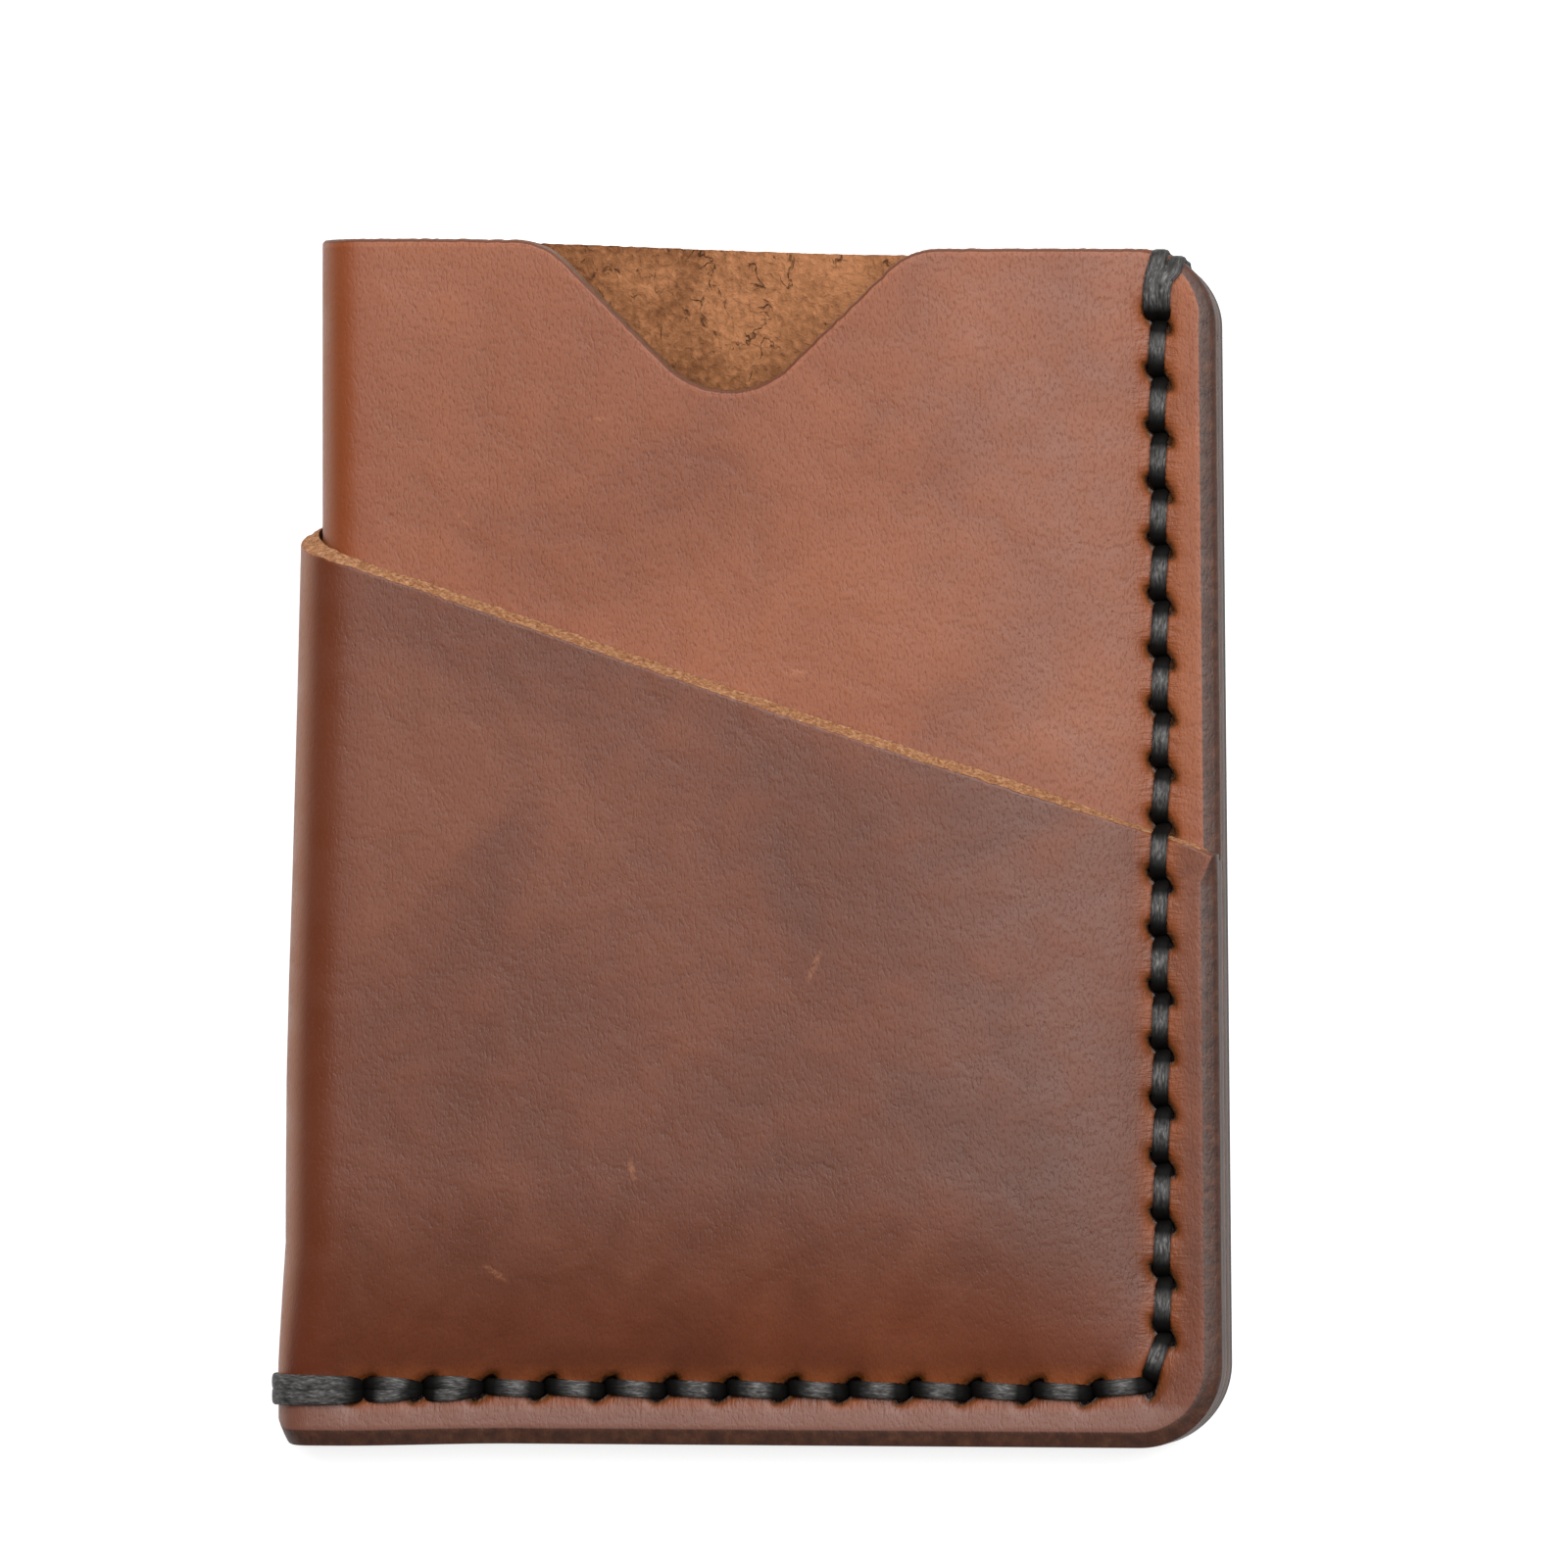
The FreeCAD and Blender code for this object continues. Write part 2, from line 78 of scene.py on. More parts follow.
# Stitch holes.
SIDE_MARGIN, SIDE_FIRST, SIDE_PITCH, SIDE_COUNT = 4.9, 95.6, 4.77, 19
TURN = (6.07, 5.5)
BOTTOM_MARGIN, BOTTOM_FIRST, BOTTOM_PITCH, BOTTOM_COUNT = 4.7, 11, 5.18, 13
SLIT = (1.42, 0.55)  # half length and half width of the slit that a pricking iron cuts
SLIT_TURN = math.radians(45)  # from the line of the seam
SLIT_POINTS = 20  # round each slit
FURROW = (0.42, 2.1)  # depth and reach of the hollow that the thread pulls along the seam
DENT = (0.40, 0.50)  # depth and reach of the hollow round each slit

# How an edge is finished: width and depth of its bevel, reach of the flesh side beyond the grain
# side, and how raw it is.
SEWN = (1.3, 0.62, 0.0, 0.0)
FLUSH = (0.12, 0.04, 0.0, 0.0)
BURNISHED = (0.32, 0.30, 0.0, 0.1)
CUT = (0.14, 0.06, 0.72, 1.0)
TRIMMED = (0.22, 0.18, 0.12, 0.34)
PINCHED = (0.14, 0.06, 0.26, 0.9)

# Where the finish changes: on the wrap's mouth, as distances from the stitched edge in front and
# from the mouth's back end, and on the stitched edges, as distances under the mouth.
MOUTH_RUBBED, MOUTH_PINCHED, MOUTH_FREE = 2.4, 7, 15
MOUTH_BACK = 7
WRAP_UNDER, SLEEVE_UNDER = 2.5, 0.6
SLEEVE_FINE = (20, 44)  # the sleeve's mesh is fine nearer the edge and higher up than this
SEAM_REACH = 2.0  # distance from the seam within which the mesh is fine


def smooth(value, low, high):
    """0 below low, 1 above high, and an even curve between."""
    share = np.clip((np.asarray(value, float) - low) / (high - low), 0, 1)
    return share * share * (3 - 2 * share)


def pillow(value, low, high):
    """0 at low, rising fast and then ever slower to 1 at high, like leather drawn in by a seam."""
    share = np.clip((np.asarray(value, float) - low) / (high - low), 0, 1)
    return 1 - (1 - share) ** 2.2


def noise_at(x, y, z=0.0):
    """Smooth noise from about -1 to 1 at each place."""
    return np.array([noise.noise((float(a), float(b), z)) for a, b in zip(x, y)])


def link(obj):
    """Put an object into the scene."""
    bpy.context.scene.collection.objects.link(obj)


def holes_in_plan():
    """Middle (D, y) of each stitch hole, from the top of the side row to the end of the bottom row."""
    side = [(SIDE_MARGIN, SIDE_FIRST - SIDE_PITCH * i) for i in range(SIDE_COUNT)]
    bottom = [(BOTTOM_FIRST + BOTTOM_PITCH * i, BOTTOM_MARGIN) for i in range(BOTTOM_COUNT)]
    return np.array(side + [TURN] + bottom)


HOLES = holes_in_plan()
LAST = len(HOLES) - 1


def seam_directions():
    """Direction of the seam in (D, y) at each hole."""
    after = np.vstack([HOLES[1:], HOLES[-1:]])
    before = np.vstack([HOLES[:1], HOLES[:-1]])
    along = after - before
    return along / np.linalg.norm(along, axis=1)[:, None]


ALONG = seam_directions()


def into_frame(D, y, z):
    """Row-frame places, in metres, of drawing coordinates, with the small skews of handwork."""
    up = y / TALL
    sewn = 1 - D / 80
    outer = np.exp(-np.maximum(D, 0) / 6)
    x = EDGE - D - (0.12 + LEAN * up) * sewn + SPREAD * (5 - z) * outer
    away = smooth(72 - D, 0, 50)
    lower = SLACK * smooth(up, 0.88, 1) * (1 - smooth(z, 3.2, 5.0))
    height = FOOT + y - (DROOP * smooth(up, 0.3, 1) + lower) * away
    height = height + LIFT * (1 - smooth(up, 0.0, 0.25)) * smooth(76 - D, 0, 16)
    return np.column_stack([x, height, z]) * MM


# ---------------------------------------------------------------- folded leather


class Folded:
    """A sheet of leather folded once about a line along y, and sewn on the other side."""

    def __init__(self, seam, belly, widths):
        self.seam = seam
        self.belly = belly
        self.heights, self.widths = zip(*widths)
        radius = (belly[1] - belly[0]) / 2
        self.panel = widths[-1][1] - radius
        self.arc = math.pi * (radius - LEATHER / 2)
        self.total = 2 * self.panel + self.arc

    def levels(self, t):
        """Outer faces of the back and front panels away from the sewn side."""
        opened = pillow(t, PILLOW_LOW, PILLOW_HIGH)
        low = self.seam[0] + (self.belly[0] - self.seam[0]) * opened
        high = self.seam[1] + (self.belly[1] - self.seam[1]) * opened
        return low, high

    def turn(self, t):
        """Distance D at which the panels start to turn round the fold."""
        low, high = self.levels(t)
        return np.interp(t, self.heights, self.widths) - (high - low) / 2

    def flat(self, D, t, behind=False):
        """Flat coordinate s of a place on the front panel or the one behind."""
        s = np.asarray(D) * self.panel / self.turn(t)
        return self.total - s if behind else s

    def place(self, s, t, depth):
        """Drawing coordinates of flat places at a depth under the grain face."""
        low, high = self.levels(t)
        radius = (high - low) / 2
        angle = math.pi * np.clip((s - self.panel) / self.arc, 0, 1)
        flat_D = np.minimum(np.minimum(s, self.total - s), self.panel) * self.turn(t) / self.panel
        D = flat_D + (radius - depth) * np.sin(angle)
        parted = pillow(flat_D, RAMP_NEAR, RAMP_FAR)
        front = self.seam[1] + (high - self.seam[1]) * parted - depth
        back = self.seam[0] + (low - self.seam[0]) * parted + depth
        front = front + swell(flat_D, t)
        middle = (low + high) / 2 + (radius - depth) * np.cos(angle)
        z = np.where(angle <= 0, front, np.where(angle >= math.pi, back, middle))
        return D, t, z


def swell(D, y):
    """Slight hills of the front panels, which leave the seam, the fold and the top edge as they are."""
    free = smooth(D, 9, 26) * smooth(74 - D, 0, 16) * smooth(y, 9, 24)
    waves = np.sin(D / 11.0 + y / 23.0) + 0.7 * np.sin(D / 19.0 - y / 13.0 + 1.3)
    return 0.07 * waves * free


# Height, and distance from the stitched edge to the fold there.
WRAP_WIDTHS = [(PINCH_END, 80.8), (BELLY_START, 79.95), (31, 79.85), (39, 79.65)]
WRAP_WIDTHS += [(48, 79.35), (56, 79.12), (64, 78.9), (78, 78.55)]
SLEEVE_WIDTHS = [(PINCH_END, 77.6), (BELLY_START, 76.75)]
WRAP = Folded(WRAP_SEAM, (WRAP_LOW.z, WRAP_HIGH.z), WRAP_WIDTHS)
SLEEVE = Folded(SLEEVE_SEAM, (SLEEVE_LOW.z, SLEEVE_HIGH.z), SLEEVE_WIDTHS)


# ---------------------------------------------------------------- outlines on the flat leather


def arc_points(centre, radius, start, end):
    """Points along an arc, angles in degrees."""
    angles = np.radians(np.linspace(start, end, 33))
    return np.column_stack([centre[0] + radius * np.cos(angles), centre[1] + radius * np.sin(angles)])


def notch_height(D):
    """Height of the top edge of the sleeve's front panel: a bell-shaped notch in a level edge."""
    away = np.abs(D - NOTCH_PLACE)
    rise = 1 / math.cos(NOTCH_FLANK) - 1
    half = (NOTCH_DEPTH + (NOTCH_BOTTOM + NOTCH_SHOULDER) * rise) / math.tan(NOTCH_FLANK)
    bottom_end = NOTCH_BOTTOM * math.sin(NOTCH_FLANK)
    shoulder = half - NOTCH_SHOULDER * math.sin(NOTCH_FLANK)
    low = TALL - NOTCH_DEPTH
    bottom = low + NOTCH_BOTTOM - np.sqrt(np.maximum(NOTCH_BOTTOM**2 - away**2, 0))
    flank = low + NOTCH_BOTTOM * (1 - math.cos(NOTCH_FLANK))
    flank = flank + (away - bottom_end) * math.tan(NOTCH_FLANK)
    left = np.maximum(half - away, 0)
    crown = TALL - NOTCH_SHOULDER + np.sqrt(np.maximum(NOTCH_SHOULDER**2 - left**2, 0))
    return np.where(
        away <= bottom_end, bottom, np.where(away <= shoulder, flank, np.where(away < half, crown, TALL))
    )


def foot_height(s, piece):
    """Height of the bottom edge, which is rubbed away a little at the fold."""
    return 1.1 * np.exp(-(((s - piece.total / 2) / 2.2) ** 2))


def bottom_edge(piece):
    """Front lower corner, bottom edge and back lower corner, from one stitched edge to the other."""
    corner = arc_points((CORNER_LOW, CORNER_LOW), CORNER_LOW, 180, 270)
    front = np.column_stack([piece.flat(corner[:, 0], corner[:, 1]), corner[:, 1]])
    back = np.column_stack([piece.total - front[::-1, 0], front[::-1, 1]])
    s = np.linspace(front[-1, 0], back[0, 0], 300)[1:-1]
    return np.vstack([front, np.column_stack([s, foot_height(s, piece)]), back])


def styled(points, first, last=None):
    """Points with their edge finish, which changes evenly from first to last."""
    share = np.linspace(0, 1, len(points))[:, None]
    return np.hstack([points, (1 - share) * first + share * np.array(last or first)])


def resample(rows, step):
    """Rows again with even steps along their first two columns; the end point is left out."""
    length = np.concatenate([[0], np.cumsum(np.linalg.norm(np.diff(rows[:, :2], axis=0), axis=1))])
    count = max(2, round(length[-1] / step))
    at = np.linspace(0, length[-1], count, endpoint=False)
    return np.column_stack([np.interp(at, length, rows[:, k]) for k in range(rows.shape[1])])


def line(start, end):
    return np.array([start, end], float)


def sleeve_outline():
    """Outline of the sleeve on the flat leather, the finish of its edge in the last columns."""
    total = SLEEVE.total
    mouth = MOUTH_LOW - SLEEVE_UNDER
    top_start = TALL - CORNER_HIGH
    back_corner = arc_points((total - CORNER_HIGH, top_start), CORNER_HIGH, 0, 90)
    front_corner = arc_points((CORNER_HIGH, top_start), CORNER_HIGH, 90, 180)
    D = np.linspace(NOTCH_END, CORNER_HIGH, 400)
    top = np.column_stack([D, notch_height(D)])
    return [
        (styled(bottom_edge(SLEEVE), FLUSH), 0.5),
        (styled(line((total, CORNER_LOW), (total, top_start)), FLUSH), 0.5),
        (styled(back_corner, FLUSH, BURNISHED), 0.3),
        (styled(line((total - CORNER_HIGH, TALL), (NOTCH_END, TALL)), BURNISHED, TRIMMED), 0.3),
        (styled(top, TRIMMED), 0.25),
        (styled(front_corner, TRIMMED, SEWN), 0.25),
        (styled(line((0, top_start), (0, mouth)), SEWN), 0.3),
        (styled(line((0, mouth), (0, CORNER_LOW)), FLUSH), 0.5),
    ]


def wrap_outline():
    """Outline of the wrap on the flat leather, the finish of its edge in the last columns."""
    total = WRAP.total
    middle = Vector((total - CORNER_HIGH, TALL - CORNER_HIGH))
    angles = np.radians(np.linspace(0, 90, 400))
    s = middle.x + CORNER_HIGH * np.cos(angles)
    t = middle.y + CORNER_HIGH * np.sin(angles)
    under = t < MOUTH_LOW + MOUTH_SLOPE * s
    corner = np.column_stack([s[under], t[under]])

    def mouth(start, stop, first, last):
        ends = line((start, MOUTH_LOW + MOUTH_SLOPE * start), (stop, MOUTH_LOW + MOUTH_SLOPE * stop))
        return styled(ends, first, last), 0.17

    end = corner[-1, 0]
    sewn_top = MOUTH_LOW - WRAP_UNDER
    return [
        (styled(bottom_edge(WRAP), SEWN), 0.28),
        (styled(line((total, CORNER_LOW), (total, middle.y)), SEWN), 0.3),
        (styled(corner, SEWN, BURNISHED), 0.3),
        mouth(end, end - MOUTH_BACK, BURNISHED, CUT),
        mouth(end - MOUTH_BACK, MOUTH_FREE, CUT, CUT),
        mouth(MOUTH_FREE, MOUTH_PINCHED, CUT, PINCHED),
        mouth(MOUTH_PINCHED, MOUTH_RUBBED, PINCHED, PINCHED),
        mouth(MOUTH_RUBBED, 0, PINCHED, BURNISHED),
        (styled(line((0, MOUTH_LOW), (0, sewn_top)), BURNISHED, SEWN), 0.25),
        (styled(line((0, sewn_top), (0, CORNER_LOW)), SEWN), 0.3),
    ]


# ---------------------------------------------------------------- meshing the flat leather


def nearest(points, targets):
    """Distance and index of the nearest target for each point, both in the plane."""
    tree = kdtree.KDTree(len(targets))
    for index, (x, y) in enumerate(targets):
        tree.insert((x, y, 0), index)
    tree.balance()
    found = [tree.find((x, y, 0))[1:] for x, y in points]
    index = np.array([i for i, _ in found])
    return np.array([d for _, d in found]), index


def inward(loop):
    """Unit normals into the leather of a loop that runs anticlockwise."""
    along = np.roll(loop, -1, axis=0) - np.roll(loop, 1, axis=0)
    along /= np.linalg.norm(along, axis=1)[:, None]
    return np.column_stack([-along[:, 1], along[:, 0]])


def inside(points, loop):
    """Which points lie inside a closed loop."""
    x, y = points[:, 0], points[:, 1]
    found = np.zeros(len(points), bool)
    for (ax, ay), (bx, by) in zip(loop, np.roll(loop, -1, axis=0)):
        if abs(ay - by) > 1e-12:
            crosses = ((ay > y) != (by > y)) & (x < (bx - ax) * (y - ay) / (by - ay) + ax)
            found ^= crosses
    return found


def slit_scale(piece, hole, behind):
    """Size of a slit against SLIT: the covered layers close up round the thread."""
    D, y = HOLES[hole]
    covered = y < MOUTH_LOW + MOUTH_SLOPE * (WRAP.total - D if behind else D)
    return 0.5 if piece is SLEEVE and covered else 1.0


def slit_axes(hole):
    """Unit vectors (D, y) along and across the slit at one hole, or at each of several."""
    along = ALONG[hole]
    across = np.stack([-along[..., 1], along[..., 0]], axis=-1)
    turned = math.cos(SLIT_TURN) * along - math.sin(SLIT_TURN) * across
    return turned, np.stack([-turned[..., 1], turned[..., 0]], axis=-1)


def slit_ring(piece, hole, behind, margin):
    """Ring round a stitch slit at a margin from its edge, in flat coordinates, anticlockwise."""
    scale = slit_scale(piece, hole, behind)
    turned, other = slit_axes(hole)
    angles = np.linspace(0, 2 * math.pi, SLIT_POINTS, endpoint=False)
    ring = (
        HOLES[hole]
        + np.outer(np.cos(angles) * (SLIT[0] * scale + margin), turned)
        + np.outer(np.sin(angles) * (SLIT[1] * scale + margin), other)
    )
    flat = np.column_stack([piece.flat(ring[:, 0], ring[:, 1], behind), ring[:, 1]])
    area = np.sum(flat[:, 0] * np.roll(flat[:, 1], -1) - flat[:, 1] * np.roll(flat[:, 0], -1))
    return flat if area > 0 else flat[::-1]


def hex_grid(piece, step_s, step_t, wanted):
    """Staggered grid over the flat leather, kept where wanted(s, t) holds."""
    rows = np.arange(0, TALL, step_t)
    columns = np.arange(0, piece.total, step_s)
    s, t = np.meshgrid(columns, rows)
    s = s + (np.arange(len(rows)) % 2)[:, None] * step_s / 2
    s, t = s.ravel(), t.ravel()
    keep = wanted(s, t)
    return np.column_stack([s[keep], t[keep]])


def seam_distance(piece, s, t):
    """Distance from the line of the seam, on either panel."""
    D = np.minimum(s, piece.total - s) * piece.turn(t) / piece.panel
    best = np.full(len(D), 1e9)
    for (ax, ay), (bx, by) in zip(HOLES, HOLES[1:]):
        length = (bx - ax) ** 2 + (by - ay) ** 2
        share = np.clip(((D - ax) * (bx - ax) + (t - ay) * (by - ay)) / length, 0, 1)
        best = np.minimum(best, np.hypot(D - ax - share * (bx - ax), t - ay - share * (by - ay)))
    return best


def slit_distance(piece, s, t):
    """Rough distance from the edge of the nearest stitch slit."""
    D = np.minimum(s, piece.total - s) * piece.turn(t) / piece.panel
    _, hole = nearest(np.column_stack([D, t]), HOLES)
    turned, other = slit_axes(hole)
    off = np.column_stack([D, t]) - HOLES[hole]
    u = np.abs(np.sum(off * turned, axis=1))
    v = np.abs(np.sum(off * other, axis=1))
    reach = np.hypot(u, v)
    shape = np.sqrt((u / SLIT[0]) ** 2 + (v / SLIT[1]) ** 2)
    return np.maximum(reach - reach / np.maximum(shape, 1e-6), 0)


def triangulate(points, loops):
    """Triangles over the area inside the first loop and outside the others. loops hold indices."""
    edges = [pair for loop in loops for pair in zip(loop, loop[1:] + loop[:1])]
    flat = [Vector(point) for point in points]
    found, _, faces, origin, _, _ = delaunay_2d_cdt(flat, edges, [], 1, 1e-6)
    if len(found) != len(flat) or any(first[0] != i for i, first in enumerate(origin)):
        raise RuntimeError(f"the outline crosses itself: {len(flat)} points became {len(found)}")
    faces = np.array(faces, int)
    belongs = np.full(len(points), -1)
    for number, loop in enumerate(loops[1:]):
        belongs[loop] = number
    corners = belongs[faces]
    in_hole = (corners[:, 0] >= 0) & (corners[:, 0] == corners[:, 1]) & (corners[:, 1] == corners[:, 2])
    return faces[~in_hole]


def side_mesh(outline, slits, loose):
    """Points and triangles of one face of the leather. The outline and slits come first."""
    points = np.vstack([outline, *slits, loose])
    loops = [list(range(len(outline)))]
    start = len(outline)
    for slit in slits:
        loops.append(list(range(start, start + len(slit))))
        start += len(slit)
    return points, triangulate(points, loops), loops


def clear_of(points, others, gap):
    """The points that are at least gap away from the others."""
    distance, _ = nearest(points, others)
    return points[distance > gap]


def grain_points(piece, outline, finish, slit_rings, fine):
    """Loose points of the grain face: rows along the edge, round the slits and over the rest."""
    normals = inward(outline)
    rows = []
    for share in (0.35, 0.75, 1.0, 1.35):
        offset = np.maximum(finish[:, 0], 0.3) * share
        row = outline + normals * offset[:, None]
        distance, _ = nearest(row, outline)
        rows.append(row[distance > 0.93 * offset])
    edge_rows = np.vstack(rows)
    seam = hex_grid(piece, 0.34, 0.34, lambda s, t: (seam_distance(piece, s, t) < SEAM_REACH) & fine(s, t))
    fold = hex_grid(piece, 0.5, 0.9, lambda s, t: np.abs(s - piece.total / 2) < piece.arc / 2 + 1)

    def elsewhere(s, t):
        near_seam = (seam_distance(piece, s, t) < SEAM_REACH) & fine(s, t)
        return ~near_seam & (np.abs(s - piece.total / 2) >= piece.arc / 2 + 1)

    rest = hex_grid(piece, 1.05, 1.05, elsewhere)
    grid = np.vstack([seam, fold, rest])
    grid = grid[inside(grid, outline)]
    grid = clear_of(grid, outline, 0.4)
    grid = clear_of(grid, edge_rows, 0.26)
    if len(slit_rings):
        rings = np.vstack(slit_rings)
        edge_rows = clear_of(edge_rows, rings, 0.12)
        grid = clear_of(grid, rings, 0.2)
        grid = grid[~in_slit(piece, grid, 0.62)]
        edge_rows = edge_rows[~in_slit(piece, edge_rows, 0.62)]
        return np.vstack([edge_rows, rings, grid])
    return np.vstack([edge_rows, grid])


def in_slit(piece, points, margin):
    """Which points lie in a stitch slit or nearer than margin to it."""
    return slit_distance(piece, points[:, 0], points[:, 1]) < margin


class Sheet:
    """The closed mesh of one folded piece of leather, and what its material reads."""

    def __init__(self, piece, stretches, fine, ruffle):
        """fine(s, t) is where the seam needs a fine mesh, and ruffle how frayed a raw edge is."""
        self.piece = piece
        outline = np.vstack([resample(rows, step) for rows, step in stretches])
        self.outline, self.finish = outline[:, :2], outline[:, 2:]
        self.normals = inward(self.outline)
        x, y = self.outline.T
        ragged = 0.045 * noise_at(x * 1.3, y * 1.3, 5.0) + 0.035 * noise_at(x * 3.7, y * 3.7, 9.0)
        ragged = ragged * smooth(self.finish[:, 3], 0.02, 0.1) * (1 + self.finish[:, 3])
        self.outline = self.outline + self.normals * ragged[:, None]
        self.ruffle = ruffle
        holes = [(i, behind) for i in range(len(HOLES)) for behind in (False, True)]
        holes = [pair for pair in holes if self.holds(*pair)]
        slits = [slit_ring(piece, i, behind, 0) for i, behind in holes]
        rings = [
            slit_ring(piece, i, behind, margin)
            for i, behind in holes
            for margin in (0.14, 0.32, 0.58)
        ]
        loose = grain_points(piece, self.outline, self.finish, rings, fine)
        self.grain = side_mesh(self.outline, slits, loose)
        self.reach = self.normals * -self.finish[:, 2:3]
        edge = self.outline + self.reach
        coarse = hex_grid(piece, 1.6, 1.6, lambda s, t: ~self.bent(s) & ~self.shown_flesh(s, t))
        shown = hex_grid(piece, 0.45, 0.45, self.shown_flesh)
        bend = hex_grid(piece, 0.6, 1.5, lambda s, t: self.bent(s))
        flesh = np.vstack([coarse, shown, bend])
        flesh = flesh[inside(flesh, edge)]
        flesh = clear_of(flesh, edge, 0.3)
        flesh = flesh[~in_slit(piece, flesh, 0.25)]
        self.flesh = side_mesh(edge, slits, flesh)

    def holds(self, hole, behind):
        """Whether the leather reaches the hole on that panel."""
        D, y = HOLES[hole]
        s = float(self.piece.flat(D, y, behind))
        return bool(inside(np.array([[s, y]]), self.outline)[0])

    def bent(self, s):
        """Which flat places are on the fold."""
        return np.abs(s - self.piece.total / 2) < self.piece.arc / 2

    def shown_flesh(self, s, t):
        """Where the flesh side can be seen through the thumb notch."""
        behind = s > self.piece.total / 2
        return (t > 84) & behind & (self.piece is SLEEVE) & ~self.bent(s)

    def grain_depth(self, s, t):
        """How deep bevels, the seam's furrow and the slits press the grain face in."""
        points = np.column_stack([s, t])
        away, index = nearest(points, self.outline)
        width, drop = self.finish[index, 0], self.finish[index, 1]
        bevel = drop * np.maximum(1 - away / width, 0) ** 1.2
        seam = seam_distance(self.piece, s, t)
        slit = slit_distance(self.piece, s, t)
        furrow = FURROW[0] * np.exp(-((seam / FURROW[1]) ** 2))
        dent = DENT[0] * np.exp(-((slit / DENT[1]) ** 2))
        raw = self.finish[index, 3]
        bevels = np.where(raw > 0.5, 9, away / width)
        return bevel + furrow + dent, np.column_stack([bevels, seam, slit, raw])

    def build(self, name):
        """Mesh object with material slots 0 grain, 1 flesh, 2 edge."""
        grain, grain_faces, loops = self.grain
        flesh, flesh_faces, _ = self.flesh
        s, t = grain[:, 0], grain[:, 1]
        depth, grain_facts = self.grain_depth(s, t)
        places = [np.column_stack(self.piece.place(s, t, depth))]
        fs, ft = flesh[:, 0], flesh[:, 1]
        relief = 0.10 * noise_at(fs * 0.55, ft * 0.55, 3.0) + 0.07 * noise_at(fs * 1.7, ft * 1.3, 8.0)
        relief = relief * self.shown_flesh(fs, ft)
        relief[: sum(len(loop) for loop in loops)] = 0
        places.append(np.column_stack(self.piece.place(fs, ft, LEATHER - np.abs(relief) * 1.4)))
        faces = [grain_faces[:, ::-1], flesh_faces + len(grain)]
        kinds = [np.zeros(len(grain_faces), int), np.ones(len(flesh_faces), int)]
        flat = [grain, flesh]
        start = len(grain) + len(flesh)
        flesh_facts = np.tile([9.0, 9.0, 9.0, 0.0], (len(flesh), 1))
        flesh_facts[: len(self.outline), 3] = self.finish[:, 3]
        facts = [grain_facts, flesh_facts]
        for number, loop in enumerate(loops):
            rows = (0.12, 0.3, 0.5, 0.7, 0.88) if number == 0 else (0.5,)
            above = np.array(loop)
            for share in rows:
                ring_flat, ring_depth = self.wall_row(number, loop, grain, depth, share)
                places.append(
                    np.column_stack(self.piece.place(ring_flat[:, 0], ring_flat[:, 1], ring_depth))
                )
                flat.append(ring_flat)
                facts.append(grain_facts[loop])
                below = np.arange(start, start + len(loop))
                start += len(loop)
                faces.append(self.band(above, below, number == 0))
                kinds.append(np.full(2 * len(loop), 2))
                above = below
            faces.append(self.band(above, np.array(loop) + len(grain), number == 0))
            kinds.append(np.full(2 * len(loop), 2))
        return leather_object(
            name,
            np.vstack(places),
            np.vstack(faces),
            np.concatenate(kinds),
            np.vstack(flat),
            np.vstack(facts),
        )

    def wall_row(self, number, loop, grain, depth, share):
        """Flat places and depths of one row of points down the cut face of a loop."""
        top = grain[loop]
        if number:
            return top, depth[loop] + (LEATHER - depth[loop]) * share
        raw = self.finish[:, 3]
        bulge = 0.05 * math.sin(math.pi * share) * (1 - raw)
        frayed = self.ruffle * raw * noise_at(top[:, 0] * 2.3, top[:, 1] * 2.3, 10 * share)
        push = (self.finish[:, 2] * share + bulge + frayed)[:, None]
        ring = top - self.normals * push
        return ring, depth[loop] + (LEATHER - depth[loop]) * share

    @staticmethod
    def band(above, below, outside):
        """Triangles between two rings of points with the same count."""
        after_above, after_below = np.roll(above, -1), np.roll(below, -1)
        first = np.column_stack([above, after_above, after_below])
        second = np.column_stack([above, after_below, below])
        band = np.vstack([first, second])
        return band if outside else band[:, ::-1]


def leather_object(name, places, faces, kinds, flat, facts):
    """Object from drawing coordinates, with attributes for its materials."""
    mesh = bpy.data.meshes.new(name)
    points = into_frame(places[:, 0], places[:, 1], places[:, 2])
    mesh.from_pydata(points.tolist(), [], faces.tolist())
    mesh.polygons.foreach_set("material_index", kinds.astype(np.int32))
    add_vector(mesh, "flat", np.column_stack([flat, np.zeros(len(flat))]))
    for index, attribute in enumerate(("edge", "seam", "slit", "raw")):
        add_float(mesh, attribute, facts[:, index])
    obj = bpy.data.objects.new(name, mesh)
    link(obj)
    mesh.shade_smooth()
    mesh.set_sharp_from_angle(angle=math.radians(50))
    return obj


def add_float(mesh, name, values):
    attribute = mesh.attributes.new(name, "FLOAT", "POINT")
    attribute.data.foreach_set("value", np.asarray(values, np.float32))


def add_vector(mesh, name, values):
    attribute = mesh.attributes.new(name, "FLOAT_VECTOR", "POINT")
    attribute.data.foreach_set("vector", np.asarray(values, np.float32).ravel())


# ---------------------------------------------------------------- thread

THREAD_STEP = 0.15
ROUND = 16  # points round the thread
LANE = 0.60  # seam's middle to the lane of each needle round the fold
